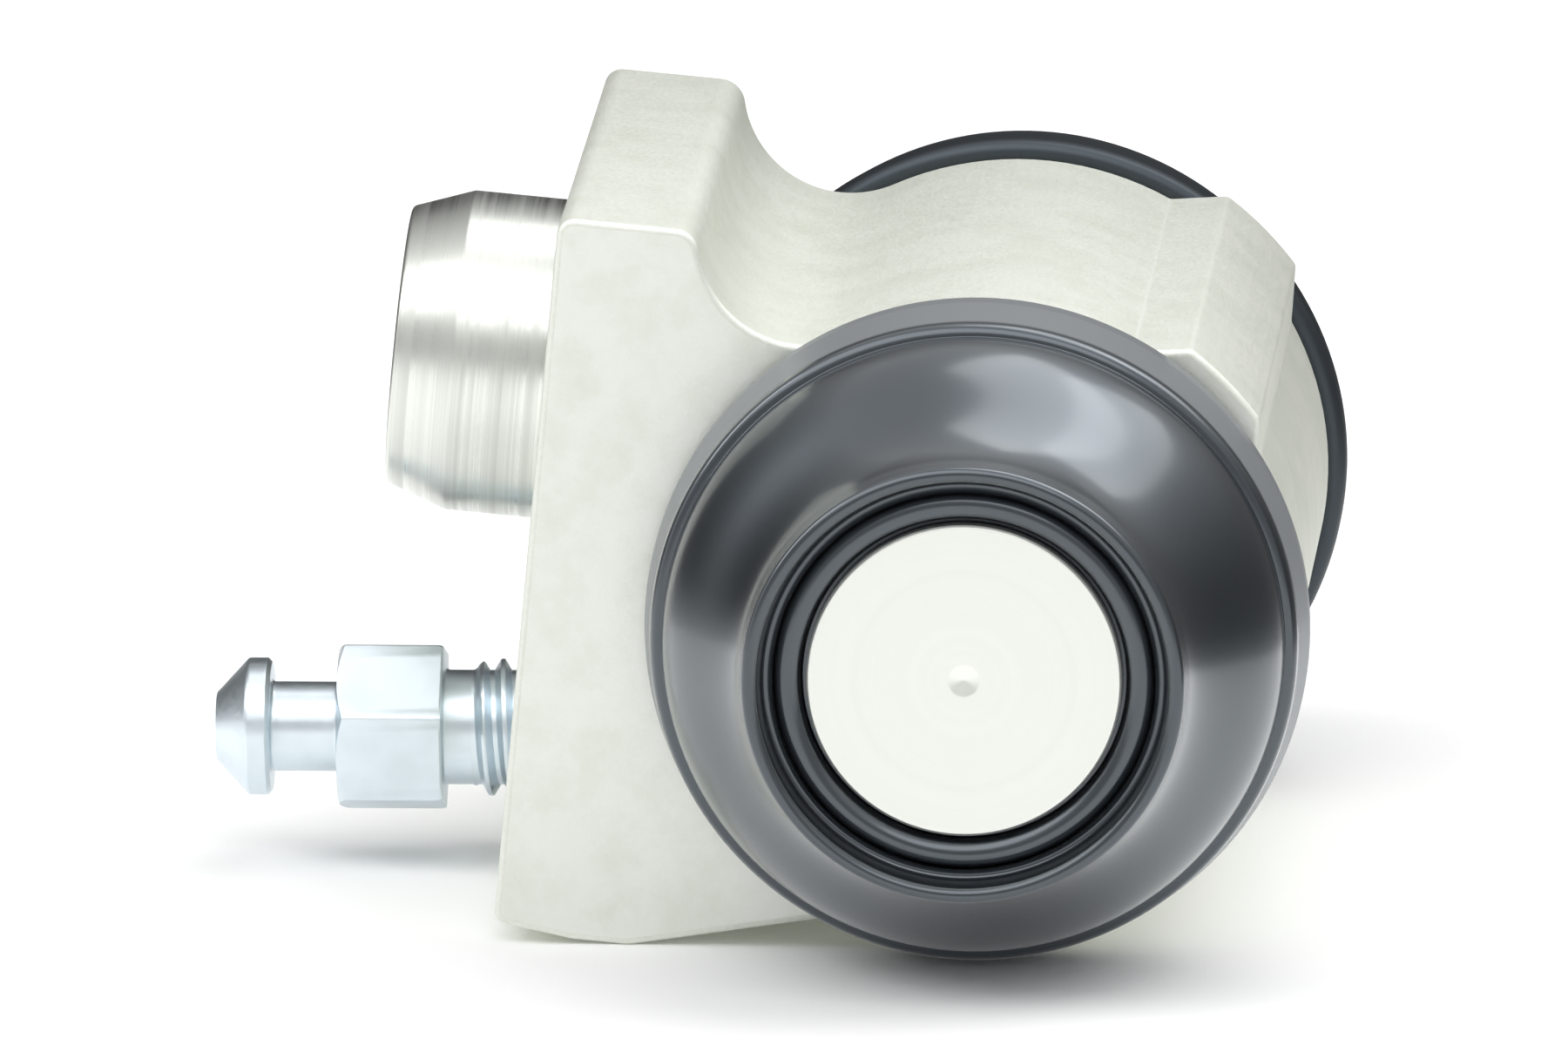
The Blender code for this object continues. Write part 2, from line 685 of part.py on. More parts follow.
def make_inner_pieces(home, bore):
    """Make what slides in the bore at each end, the spring between and the boots outside."""
    turned_metal = new_material("turned_aluminium", (0.8, 0.81, 0.8), 1.0, 0.35)
    seal_rubber = new_material("seal_rubber", (0.03, 0.03, 0.032), 0.0, 0.5)
    boot_rubber = new_material("boot_rubber", (0.035, 0.036, 0.038), 0.0, 0.3)
    pressed = new_material("pressed_steel", (0.6, 0.6, 0.58), 1.0, 0.4)
    wire = new_material("spring_wire", (0.45, 0.45, 0.46), 1.0, 0.4)
    pieces = [
        ("piston", piston_profile(), ROUND_STEPS, False, turned_metal),
        ("piston_cup", cup_profile(), ROUND_STEPS, False, seal_rubber),
        ("cup_expander", expander_profile(), SMALL_STEPS, False, pressed),
        ("dust_boot", boot_profile(), ROUND_STEPS, True, boot_rubber),
    ]
    for end, turn in (("front", (0, 0, 0)), ("rear", (math.pi, 0, 0))):
        for name, profile, steps, closed, material in pieces:
            piece = turned(f"{name}_{end}", profile, steps, closed)
            carry(bore, place(piece, home, material), turn)
    carry(bore, place(spring_coil("return_spring"), home, wire))


def make_bleed_screw(home, cutters, bleed):
    """Make the bleed screw: turned shank and nipple, chamfered hexagon, drilled through."""
    plated = new_material("zinc_plated_steel", (0.7, 0.74, 0.78), 1.0, 0.3)
    screw = turned("bleed_screw", screw_profile(), SMALL_STEPS)
    carry(bleed, place(screw, home, plated))
    head = carry(bleed, place(hexagon("hexagon"), cutters, cutter=True))
    limit = turned("hexagon_chamfer", hex_chamfer_profile(), ROUND_STEPS)
    carry(bleed, place(limit, cutters, cutter=True))
    combine(head, "INTERSECT", limit)
    combine(screw, "UNION", head)
    cross_at = bleed_seat_height() + CROSS_HOLE_RADIUS + CROSS_HOLE_RISE
    over = BARB_LENGTH
    drill = turned(
        "axial_drill",
        [
            (0, SCREW_END + over),
            (DRILLED_RADIUS, SCREW_END + over),
            (DRILLED_RADIUS, cross_at),
            (0, cross_at - point_depth(DRILLED_RADIUS, 0)),
        ],
        SMALL_STEPS,
    )
    carry(bleed, place(drill, cutters, cutter=True))
    cross = turned(
        "cross_drill",
        [
            (0, PILOT_RADIUS + over),
            (CROSS_HOLE_RADIUS, PILOT_RADIUS + over),
            (CROSS_HOLE_RADIUS, -PILOT_RADIUS - over),
            (0, -PILOT_RADIUS - over),
        ],
        SMALL_STEPS // 2,
    )
    carry(bleed, place(cross, cutters, cutter=True), (math.pi / 2, 0, 0), (0, 0, cross_at))
    combine(screw, "DIFFERENCE", drill)
    combine(screw, "DIFFERENCE", cross)


def new_empty(name, home, at, turn):
    """Return an empty whose Z axis is the axis of what it carries."""
    empty = bpy.data.objects.new(name, None)
    empty.location = at
    empty.rotation_euler = turn
    empty.empty_display_size = BORE_RADIUS
    home.objects.link(empty)
    return empty


def main():
    """Build the wheel cylinder."""
    clear_scene()
    home = new_collection("wheel_cylinder")
    cutters = new_collection("cutters")
    quarter = math.pi / 2
    bore = new_empty("bore_axis", home, (FACE_OFFSET, 0, BORE_RISE), (quarter, 0, 0))
    port = new_empty("inlet_axis", home, (0, 0, BORE_RISE + SPIGOT_RISE), (0, -quarter, 0))
    bleed = new_empty(
        "bleed_axis", home, (0, 0, BORE_RISE - BLEED_DROP), (0, -quarter - BLEED_TILT, 0)
    )
    face = new_empty("fixing_line", home, (0, 0, 0), (0, -quarter, 0))
    make_body(home, cutters, bore, port, bleed, face)
    make_inner_pieces(home, bore)
    make_bleed_screw(home, cutters, bleed)
    bpy.context.view_layer.update()


main()
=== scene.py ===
"""Wheel cylinder of a drum brake: its fine surfaces, finishes, lamps, floor and camera.

Everything is in metres, in the packed model's frame: -X runs out of the mounting face,
Y along the bore and +Z up. Profiles of turned pieces are rows of (radius, height) along
their axis. The heights of what lies on the bore's axis start half way along the bore.
"""

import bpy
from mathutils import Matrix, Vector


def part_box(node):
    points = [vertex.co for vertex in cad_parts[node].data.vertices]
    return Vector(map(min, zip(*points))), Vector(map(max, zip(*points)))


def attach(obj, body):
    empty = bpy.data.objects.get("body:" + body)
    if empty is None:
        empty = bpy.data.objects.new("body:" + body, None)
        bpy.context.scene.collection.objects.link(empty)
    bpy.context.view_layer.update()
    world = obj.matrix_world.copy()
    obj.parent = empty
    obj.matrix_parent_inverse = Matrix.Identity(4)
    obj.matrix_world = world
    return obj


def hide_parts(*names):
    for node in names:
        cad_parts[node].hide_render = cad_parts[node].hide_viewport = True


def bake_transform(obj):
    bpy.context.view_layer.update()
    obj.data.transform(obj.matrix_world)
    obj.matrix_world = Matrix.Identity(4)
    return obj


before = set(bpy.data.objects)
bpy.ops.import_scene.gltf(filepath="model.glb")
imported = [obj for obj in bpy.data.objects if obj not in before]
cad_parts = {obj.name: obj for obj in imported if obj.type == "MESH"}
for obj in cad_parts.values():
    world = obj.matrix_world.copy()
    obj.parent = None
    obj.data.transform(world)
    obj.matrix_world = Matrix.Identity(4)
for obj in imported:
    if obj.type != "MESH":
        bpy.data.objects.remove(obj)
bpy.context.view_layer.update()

import math

import bmesh
import bpy
import numpy as np
from bpy.props import FloatProperty, FloatVectorProperty, IntProperty, PointerProperty
from bpy.types import Operator, Panel, PropertyGroup
from mathutils import Matrix, Vector
from mathutils.geometry import delaunay_2d_cdt

bl_info = {
    "name": "Wheel cylinder",
    "version": (1, 0, 0),
    "blender": (4, 5, 0),
    "location": "3D View > Sidebar > Wheel cylinder",
    "description": "Makes the surfaces and finishes of a drum brake's wheel cylinder",
    "category": "Add Mesh",
}

# HOLD keeps flat runs flat, WELD joins points, and SHARP is the least angle of a hard edge
MM = 0.001
HOLD = 0.08 * MM
WELD = 0.0005 * MM
SHARP = math.radians(32)
FULL = 2 * math.pi


def linear(code):
    """Turn an sRGB hex colour into linear red, green and blue."""
    parts = [int(code[i:i + 2], 16) / 255 for i in (1, 3, 5)]
    return [c / 12.92 if c <= 0.04045 else ((c + 0.055) / 1.055) ** 2.4 for c in parts]


def length(name, description, millimetres):
    """Return a length property with its default in millimetres."""
    return FloatProperty(
        name=name, description=description, default=millimetres * MM, min=0.0,
        precision=5, unit="LENGTH", subtype="DISTANCE",
    )


def turn(name, description, degrees):
    """Return an angle property with its default in degrees."""
    return FloatProperty(
        name=name, description=description, default=math.radians(degrees),
        unit="ROTATION", subtype="ANGLE",
    )


def colour(name, description, code):
    """Return a colour property with its default as an sRGB hex colour."""
    return FloatVectorProperty(
        name=name, description=description, default=linear(code), size=3,
        min=0.0, max=1.0, subtype="COLOR",
    )


# The frame gives the bore's axis, the ends of the body and the pistons' faces
PISTON_LOW, PISTON_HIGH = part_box("piston_front")
BODY_LOW, BODY_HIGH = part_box("cylinder_body")
AXIS_X = (PISTON_LOW[0] + PISTON_HIGH[0]) / 2
AXIS_Z = (PISTON_LOW[2] + PISTON_HIGH[2]) / 2
CENTRE = (AXIS_X, 0, AXIS_Z)
ENDS = (("front", -1), ("rear", 1))


class BodySizes(PropertyGroup):
    """Sizes of the cylinder body."""

    bore_radius: length("Bore radius", "Half the bore's diameter", 10.32)
    radius: length("Round part radius", "Radius of the round part outside", 17.9)
    neck_end: length("Neck end", "From the middle of the bore to a neck's end", BODY_HIGH[1] / MM)
    edge: length("Broken edge", "Rounding of the edges of the end faces", 0.3)
    neck_radius: length("Neck radius", "Radius of the neck under the boot", 16.12)
    neck_length: length("Neck length", "How far a neck stands out of the body", 6.0)
    neck_edge: length("Neck chamfer", "Chamfer round a neck's end", 0.5)
    groove_start: length("Groove start", "From the end face to the bead's groove", 0.7)
    groove_width: length("Groove width", "Width of the bead's groove", 2.7)
    groove_depth: length("Groove depth", "Depth of the bead's groove", 1.0)
    root: length("Root fillet", "Fillet where turned parts meet a flat face", 0.2)


class BlockSizes(PropertyGroup):
    """Sizes of the mounting block and the rib, from the bore's axis."""

    top: length("Top", "Height of the block's top over the bore's axis", 20.8)
    bottom: length("Bottom", "Depth of the block's bottom below the bore's axis", 20.75)
    thickness: length("Thickness", "From the mounting face to the inner side", 8.0)
    corner: length("Inner corner", "Radius of the top's inner corner", 1.5)
    face_corner: length("Face corner", "Radius of the top's corner at the face", 1.0)
    fillet: length("Fillet", "Radius from the block into the round part", 6.2)
    foot_length: length("Foot length", "Length of the flat foot", 7.75)
    foot_corner: length("Foot corner", "Radius at the foot's inner end", 3.0)
    foot_slope: turn("Foot slope", "Rise of the underside behind the foot", 13.7)
    foot_fillet: length("Foot fillet", "Radius from the slope into the round part", 6.0)
    heel_relief: length("Heel relief", "How far the heel is above the foot", 0.5)
    heel_length: length("Heel length", "Length of the heel's slope", 4.5)
    heel_corner: length("Heel corner", "Radius of the heel at the face", 0.7)
    rib_angle: turn("Rib angle", "Where the rib stands, from +X", 49.8)
    rib_height: length("Rib height", "How far the rib stands out", 2.0)
    rib_foot: length("Rib foot", "Width of the rib at its foot", 10.0)
    rib_top: length("Rib top", "Width of the rib at its top", 5.6)
    rib_corner: length("Rib corner", "Radius of the rib's corners", 0.55)


class PortSizes(PropertyGroup):
    """Sizes of the spigot, the inlet port and the fixing holes, from the mounting face."""

    rise: length("Spigot rise", "Height of the spigot's axis over the bore's", 8.0)
    radius: length("Spigot radius", "Radius of the spigot", 9.2)
    reach: length("Spigot length", "How far the spigot stands out", 9.4)
    taper_length: length("Taper length", "Length of the tapered end", 3.5)
    taper: length("Taper", "How much the taper takes off the radius", 1.25)
    port_radius: length("Port radius", "Radius inside the port's thread", 4.5)
    port_depth: length("Port depth", "Depth of the threaded port", 12.5)
    port_edge: length("Port chamfer", "Chamfer of the port's mouth", 0.9)
    feed_radius: length("Feed radius", "Radius of the hole to the bore", 1.25)
    fixing_spacing: length("Fixing spacing", "Between the two fixing holes", 31.0)
    fixing_radius: length("Fixing radius", "Radius inside the fixing thread", 2.5)
    fixing_depth: length("Fixing depth", "Depth of a fixing hole", 11.0)
    fixing_edge: length("Fixing chamfer", "Chamfer of a fixing hole's mouth", 0.8)
    pitch: length("Thread pitch", "Pitch of the port's and fixing threads", 1.0)
    thread: length("Thread depth", "Depth of the port's and fixing threads", 0.5)


class PistonSizes(PropertyGroup):
    """Sizes of a piston."""

    face: length("Face", "From the middle of the bore to the face", -PISTON_LOW[1] / MM)
    inner_end: length("Inner end", "From the middle to the inner end", -PISTON_HIGH[1] / MM)
    skirt_radius: length("Skirt radius", "Radius in the bore", 10.27)
    skirt_length: length("Skirt length", "Length of the skirt", 15.0)
    nose_radius: length("Nose radius", "Radius of the nose", 8.95)
    edge: length("Edge", "Chamfer of the skirt's edges", 0.4)
    face_edge: length("Face edge", "Chamfer of the face's edge", 0.15)
    flange: length("Flange", "From the face to the lip's groove", 1.0)
    groove_width: length("Groove width", "Width of the lip's groove", 2.4)
    groove_depth: length("Groove depth", "Depth of the lip's groove", 0.95)
    dimple_radius: length("Centre radius", "Radius of the centre mark", 0.9)
    dimple_depth: length("Centre depth", "Depth of the centre mark", 0.22)


class SealSizes(PropertyGroup):
    """Sizes of the cups, the expanders and the spring."""

    gap: length("Gap", "Space between pieces that touch", 0.3)
    cup_length: length("Cup length", "Length of a cup", 4.8)
    cup_base: length("Cup base", "Thickness of a cup's base", 2.2)
    cup_lip: length("Cup lip", "Thickness of a cup's lip", 0.9)
    cup_root: length("Cup root", "Thickness of the lip at its root", 3.2)
    cup_edge: length("Cup edge", "Chamfer of a cup's edges", 0.6)
    sheet: length("Sheet", "Thickness of an expander's sheet", 0.6)
    flare: length("Flare", "Length of an expander's skirt", 1.8)
    coil_radius: length("Coil radius", "Mean radius of the spring", 4.0)
    wire: length("Wire", "Diameter of the spring's wire", 1.1)
    turns: IntProperty(name="Turns", description="Turns of the spring", default=6, min=4)


class BootSizes(PropertyGroup):
    """Sizes of a dust boot."""

    collar: length("Collar radius", "Largest radius of the collar", 18.9)
    collar_length: length("Collar length", "From the back to the largest radius", 2.2)
    collar_edge: length("Collar edge", "Radius of the collar's back edge", 0.8)
    ring: length("Ring radius", "Radius of the collar's front edge", 18.4)
    ring_edge: length("Ring edge", "Rounding of the collar's front edge", 0.7)
    ring_lead: length("Ring lead", "How far the ring stands past the neck", 0.9)
    wall: length("Wall", "Thickness of the bell", 1.3)
    bell_curve: FloatProperty(
        name="Bell curve", description="Power of the bell's cosine", default=2.4
    )
    lip_radius: length("Lip radius", "Rounding of the lip on the piston", 0.8)
    lip_lead: length("Lip lead", "How far the lip stands past the face", 0.2)
    valley_radius: length("Valley radius", "Radius at the bottom of the fold", 0.3)
    valley_depth: length("Valley depth", "Depth of the fold", 1.8)
    crest_out: length("Crest out", "From the bottom of the fold out to the crest", 0.95)
    crest_radius: length("Crest radius", "Radius of the crest", 0.45)
    crest_lead: length("Crest lead", "How far the crest stands past the face", 1.7)


class ScrewSizes(PropertyGroup):
    """Sizes of the bleed screw and its hole, along its axis from the mounting face."""

    drop: length("Drop", "How far below the bore's axis it leaves the face", 13.6)
    tilt: turn("Tilt", "How far its outer end leans down", 5.5)
    hole_radius: length("Hole radius", "Radius of its hole", 4.03)
    hole_depth: length("Hole depth", "Depth of the threaded part", 12.3)
    hole_edge: length("Hole chamfer", "Chamfer of the hole's mouth", 1.0)
    seat_radius: length("Seat radius", "Radius below the thread", 3.4)
    seat_straight: length("Seat straight", "Length below the thread", 1.3)
    passage_radius: length("Passage radius", "Radius of the passage to the bore", 1.6)
    thread_radius: length("Thread radius", "Radius over the thread", 3.95)
    thread_out: length("Thread out", "How far the thread stands out of the face", 3.2)
    pitch: length("Thread pitch", "Pitch of the thread", 1.25)
    relief_length: length("Relief length", "Length between thread and hexagon", 1.6)
    relief_radius: length("Relief radius", "Radius between thread and hexagon", 3.3)
    hex_flats: length("Hexagon", "Size across flats", 9.0)
    hex_length: length("Hexagon length", "Length of the hexagon", 6.05)
    hex_turn: turn("Hexagon turn", "How far the hexagon is turned", 16)
    neck_radius: length("Nipple radius", "Radius of the nipple's neck", 2.58)
    neck_length: length("Nipple length", "Length of the nipple's neck", 3.9)
    barb_radius: length("Barb radius", "Radius of the hose barb", 3.95)
    barb_length: length("Barb length", "Length of the hose barb", 3.2)
    barb_band: length("Barb band", "Width of the barb's widest part", 1.1)
    tip_radius: length("Tip radius", "Radius of the nipple's end", 2.2)
    pilot_radius: length("Pilot radius", "Radius before the cone", 2.2)
    drill_radius: length("Drilling", "Radius of the hole through it", 0.9)


class Colours(PropertyGroup):
    """Colours of the finishes."""

    cast: colour("Cast aluminium", "Blasted casting", "#E2E4DC")
    cast_dark: colour("Cast hollows", "Hollows and stains of the casting", "#D9DCD1")
    machined: colour("Machined aluminium", "Cut aluminium", "#E3E5DF")
    zinc: colour("Zinc plate", "Bright zinc plate", "#DCE6EC")
    boot: colour("Boot rubber", "Glossy moulded rubber", "#131417")
    # the collar colour is partly dust and partly a painted sheen of reflected light, and only the
    # front boot gets it
    collar: colour("Boot collar", "Matt moulded rubber with dust", "#787A7C")
    seal: colour("Seal rubber", "Matt moulded rubber", "#161718")
    pressed: colour("Pressed steel", "Cold rolled sheet", "#B4B3AE")
    wire: colour("Spring wire", "Drawn wire", "#8A8B8E")
    floor: colour("Floor", "Pale floor", "#FFFFFF")


def grid_faces(rows, columns):
    """Return the four-sided faces of a grid whose points run along its rows."""
    first = np.arange(rows - 1)[:, None] * columns + np.arange(columns - 1)[None, :]
    first = first.ravel()
    return np.stack([first, first + 1, first + columns + 1, first + columns], axis=1)


def arc(centre, radius, start, end, step=math.radians(3)):
    """Return points centre + radius * (cos a, sin a), with a from start to end."""
    count = max(2, math.ceil(abs(end - start) / step))
    a = np.linspace(start, end, count + 1)
    return np.stack([centre[0] + radius * np.cos(a), centre[1] + radius * np.sin(a)], axis=1)


def apart(line):
    """Drop the points of a line that lie on the one before them."""
    step = np.linalg.norm(np.diff(line[:, :2], axis=0), axis=1)
    return line[np.concatenate([[True], step > WELD])]


def rounded(points, radii, closed=False, side=1):
    """Round the corners of a line and say where they wear.

    Each corner becomes an arc that touches both of its runs. It starts and ends
    radius * tan(turn / 2) from the corner, or at 45% of the shorter run if that is less.
    The third column is 1 on the middle of a corner that stands out, with the outside on
    the line's left where side is 1 and on its right where side is -1.
    """
    segments = 5
    points = np.asarray(points, float)
    radii = np.array(np.broadcast_to(radii, len(points)), float)
    if not closed:
        radii[[0, -1]] = 0
    before = np.roll(points, 1, axis=0) - points
    after = np.roll(points, -1, axis=0) - points
    run_before = np.maximum(np.linalg.norm(before, axis=1), WELD)
    run_after = np.maximum(np.linalg.norm(after, axis=1), WELD)
    before, after = before / run_before[:, None], after / run_after[:, None]
    angle = np.arccos(np.clip(-(before * after).sum(axis=1), -1, 1))
    angle = np.clip(angle, 0.001, math.pi - 0.001)
    reach = np.minimum(radii * np.tan(angle / 2), 0.45 * np.minimum(run_before, run_after))
    middle = before + after
    middle /= np.maximum(np.linalg.norm(middle, axis=1), 1e-9)[:, None]
    centre = points + middle * (reach / np.sin(angle / 2))[:, None]
    start, end = points + before * reach[:, None], points + after * reach[:, None]
    t = np.linspace(0, 1, segments + 1)[None, :, None]
    a = angle[:, None, None]
    along_start = np.sin((1 - t) * a) * (start - centre)[:, None]
    along_end = np.sin(t * a) * (end - centre)[:, None]
    curve = centre[:, None] + (along_start + along_end) / np.sin(a)
    curve = np.where((reach > WELD)[:, None, None], curve, points[:, None])
    outward = side * (before[:, 0] * after[:, 1] - before[:, 1] * after[:, 0])
    worn = np.clip(outward * 2, 0, 1)[:, None] * (1 - np.abs(2 * t[0, :, 0] - 1))[None, :]
    return apart(np.concatenate([curve, worn[:, :, None]], axis=2).reshape(-1, 3))


def hold_ends(line, closed=False):
    """Add a point close to each end of every long run, so that flat runs stay flat."""
    following = np.roll(line, -1, axis=0)
    if not closed:
        following[-1] = line[-1]
    step = following - line
    run = np.linalg.norm(step[:, :2], axis=1)
    long = run > 5 * HOLD
    share = (HOLD / np.maximum(run, HOLD))[:, None]
    inner = [line + step * share, line + step * (1 - share)]
    for points in inner:
        points[:, 2] = 0
    stacked = np.stack([line, *inner], axis=1)
    keep = np.stack([np.ones(len(line), bool), long, long], axis=1)
    return stacked[keep]


def turned(rows, side=1):
    """Return a turned profile from rows of radius, height and corner radius."""
    rows = np.array(rows)
    return hold_ends(rounded(rows[:, :2], rows[:, 2], side=side))


def bends(line):
    """Return by how much a closed line turns at each of its points, in radians."""
    before = line - np.roll(line, 1, axis=0)
    after = np.roll(line, -1, axis=0) - line
    cross = before[:, 0] * after[:, 1] - before[:, 1] * after[:, 0]
    return np.abs(np.arctan2(cross, (before * after).sum(axis=1)))


def inset(line, distance):
    """Move a closed anticlockwise line inwards by a distance.

    Each point goes along the mean of its runs' normals, by distance / cos(turn / 2).
    """
    flat = line[:, :2]
    after = np.roll(flat, -1, axis=0) - flat
    after /= np.linalg.norm(after, axis=1)[:, None]
    normal = np.stack([-after[:, 1], after[:, 0]], axis=1)
    mean = normal + np.roll(normal, 1, axis=0)
    mean /= (mean * normal).sum(axis=1)[:, None]
    return np.concatenate([flat + mean * distance, line[:, 2:]], axis=1)


def axis_frame(origin, along, side):
    """Return an axis as rows: its origin, its direction and two directions square to it."""
    along = np.asarray(along, float) / np.linalg.norm(along)
    side = np.asarray(side, float)
    return np.stack([np.asarray(origin, float), along, side, np.cross(along, side)])


def bore_axis(side):
    """Return the bore's axis from its middle, towards +Y or -Y by the side's sign."""
    return axis_frame(CENTRE, (0, side, 0), (1, 0, 0))


def around(count):
    """Return angles right round, with the first one again at the end."""
    return np.linspace(0, FULL, count + 1)


def spin(profile, angles, axis, layer=0):
    """Carry a profile round an axis.

    A point is origin + height * axis + radius * (cos a * side + sin a * other side).
    The profile has rows of radius, height and wear, or a whole array of rows for each
    angle where the shape changes on its way round.
    """
    profile = np.asarray(profile, float)
    if profile.ndim == 2:
        profile = np.repeat(profile[:, None], len(angles), axis=1)
    radius, height, worn = profile[..., 0:1], profile[..., 1:2], profile[..., 2]
    origin, along, side, other = axis
    ray = np.cos(angles)[:, None] * side + np.sin(angles)[:, None] * other
    points = origin + height * along + radius * ray[None]
    rows, columns = worn.shape
    return points.reshape(-1, 3), grid_faces(rows, columns), worn.ravel(), layer


def ring_rows(count, rows):
    """Stack rows of radius, height and wear, each a number or an array of values all round."""
    spread = [np.broadcast_arrays(*row, np.zeros(count))[:3] for row in rows]
    return np.stack([np.stack(row, axis=1) for row in spread])


def flat_face(loops, layer=0):
    """Fill a flat face between an outer loop and its holes, given as loops of 3D points.

    The loops are the fixed edges of a Delaunay triangulation. A triangle is kept if a
    ray from its middle crosses the loops an odd number of times.
    """
    points = np.concatenate(loops)
    spread = np.ptp(points, axis=0)
    flat = np.delete(points, np.argmin(spread), axis=1) / MM
    counts = np.array([len(loop) for loop in loops])
    first = np.repeat(np.cumsum(counts) - counts, counts)
    index = np.arange(len(points))
    following = first + (index - first + 1) % np.repeat(counts, counts)
    edges = np.stack([index, following], axis=1)
    made = delaunay_2d_cdt([Vector(p) for p in flat], edges.tolist(), [], 0, 1e-6)
    source = np.array([group[0] for group in made[3]])
    faces = source[np.array(made[2])]
    middle = flat[faces].mean(axis=1)[:, None]
    start, end = flat[edges[:, 0]][None], flat[edges[:, 1]][None]
    spans = (start[..., 1] > middle[..., 1]) != (end[..., 1] > middle[..., 1])
    rise = np.where(spans, end[..., 1] - start[..., 1], 1)
    crossing = start[..., 0] + (middle[..., 1] - start[..., 1]) / rise * (end - start)[..., 0]
    inside = (spans & (crossing > middle[..., 0])).sum(axis=1) % 2 == 1
    return points, faces[inside], np.zeros(len(points)), layer


def thread(radius, depth, pitch, low, high, angles, axis, layer=0):
    """Return a threaded wall between two heights.

    The rows of points climb one pitch in each turn, so every row is one helix: its
    radius is radius + depth * flank, where flank goes from 0 on one flat to 1 on the
    other and back within a pitch. It fades out over 0.6 of a turn at both ends. The flat
    where it is 0 counts as worn by 0.6.
    """
    rows = 10
    flat, ramp, run_out, wear = 0.2, 0.62, 0.6, 0.6
    count = math.ceil((high - low) / pitch * rows) + rows
    row = np.arange(-rows, count + 1)[:, None]
    height = np.clip(low + pitch * (row / rows + angles[None, :] / FULL), low, high)
    phase = np.abs((row / rows) % 1 - 0.5) * 2
    flank = np.clip((phase - flat) / ramp, 0, 1)
    fade = np.clip(np.minimum(height - low, high - height) / (run_out * pitch), 0, 1)
    deep = radius + depth * flank * fade
    worn = np.broadcast_to(wear * (flank < 0.01), height.shape)
    return spin(np.stack([deep, height, worn], axis=2), angles, axis, layer)


def put(name, data):
    """Add an object to the scene."""
    made = bpy.data.objects.new(name, data)
    bpy.context.scene.collection.objects.link(made)
    return made


def new_piece(name, surfaces, materials, node=None, body=None):
    """Join surfaces into one piece, weld them and turn their faces outwards."""
    offsets = np.cumsum([0] + [len(s[0]) for s in surfaces])
    faces = [s[1] + offset for s, offset in zip(surfaces, offsets)]
    corners = np.concatenate([block.ravel() for block in faces])
    sizes = np.concatenate([np.full(len(block), block.shape[1]) for block in faces])
    layers = np.concatenate([np.full(len(block), s[3]) for block, s in zip(faces, surfaces)])
    mesh = bpy.data.meshes.new(name)
    mesh.vertices.add(offsets[-1])
    mesh.loops.add(len(corners))
    mesh.polygons.add(len(sizes))
    mesh.vertices.foreach_set("co", np.concatenate([s[0] for s in surfaces]).ravel())
    mesh.loops.foreach_set("vertex_index", corners.astype(np.int32))
    mesh.polygons.foreach_set("loop_start", (np.cumsum(sizes) - sizes).astype(np.int32))
    mesh.polygons.foreach_set("material_index", layers.astype(np.int32))
    mesh.update(calc_edges=True)
    worn = mesh.attributes.new("worn", "FLOAT", "POINT")
    worn.data.foreach_set("value", np.concatenate([s[2] for s in surfaces]).astype(np.float32))
    shell = bmesh.new()
    shell.from_mesh(mesh)
    bmesh.ops.remove_doubles(shell, verts=shell.verts, dist=WELD)
    bmesh.ops.dissolve_degenerate(shell, edges=shell.edges, dist=WELD)
    bmesh.ops.recalc_face_normals(shell, faces=shell.faces)
    shell.to_mesh(mesh)
    shell.free()
    mesh.shade_smooth()
    mesh.set_sharp_from_angle(angle=SHARP)
    for material in materials:
        mesh.materials.append(material)
    piece = put(name, mesh)
    if node:
        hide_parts(node)
    if body:
        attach(piece, body)
    return piece


def add(tree, kind, values=None):
    """Add a node. A value that is a socket is linked, and any other is set."""
    node = tree.nodes.new(kind)
    for key, value in (values or {}).items():
        if isinstance(value, bpy.types.NodeSocket):
            tree.links.new(value, node.inputs[key])
        elif isinstance(key, str) and hasattr(node, key):
            setattr(node, key, value)
        else:
            node.inputs[key].default_value = value
    return node


def maths(tree, operation, *values):
    """Return the result of a maths node, fed with sockets or numbers."""
    inputs = dict(enumerate(values))
    return add(tree, "ShaderNodeMath", {"operation": operation, **inputs}).outputs[0]


def blank(data):
    """Turn on the nodes of a material or a world and return their tree, emptied."""
    data.use_nodes = True
    data.node_tree.nodes.clear()
    return data.node_tree


def finish(name, metallic, roughness, others=None):
    """Return a new material, its node tree, its shader and its object coordinates."""
    material = bpy.data.materials.new(name)
    material.use_nodes = True
    tree = material.node_tree
    shader = tree.nodes["Principled BSDF"]
    for key, value in {"Metallic": metallic, "Roughness": roughness, **(others or {})}.items():
        shader.inputs[key].default_value = value
    place = add(tree, "ShaderNodeTexCoord").outputs["Object"]
    return material, tree, shader, place


def dress(tree, shader, base, roughness, grain, depth, strength):
    """Give a shader its colour and roughness, and raise it by a grain times a depth in metres."""
    relief = add(tree, "ShaderNodeBump", {"Height": grain, "Strength": strength, "Distance": depth})
    links = {"Base Color": base, "Roughness": roughness, "Normal": relief.outputs["Normal"]}
    for key, output in links.items():
        if output is not None:
            tree.links.new(output, shader.inputs[key])


def per(millimetres):
    """Return the texture scale at which one cell is this many millimetres."""
    return 1000 / millimetres


def noise(tree, place, millimetres, detail=3.0, roughness=0.5):
    """Return a noise with cells of this many millimetres."""
    values = {"Vector": place, "Scale": per(millimetres), "Detail": detail, "Roughness": roughness}
    return add(tree, "ShaderNodeTexNoise", values).outputs["Fac"]


def value_range(tree, value, low, high, start=0.0, end=1.0):
    """Return a value carried from one range into another."""
    values = {"Value": value, "From Min": start, "From Max": end, "To Min": low, "To Max": high}
    return add(tree, "ShaderNodeMapRange", values).outputs["Result"]


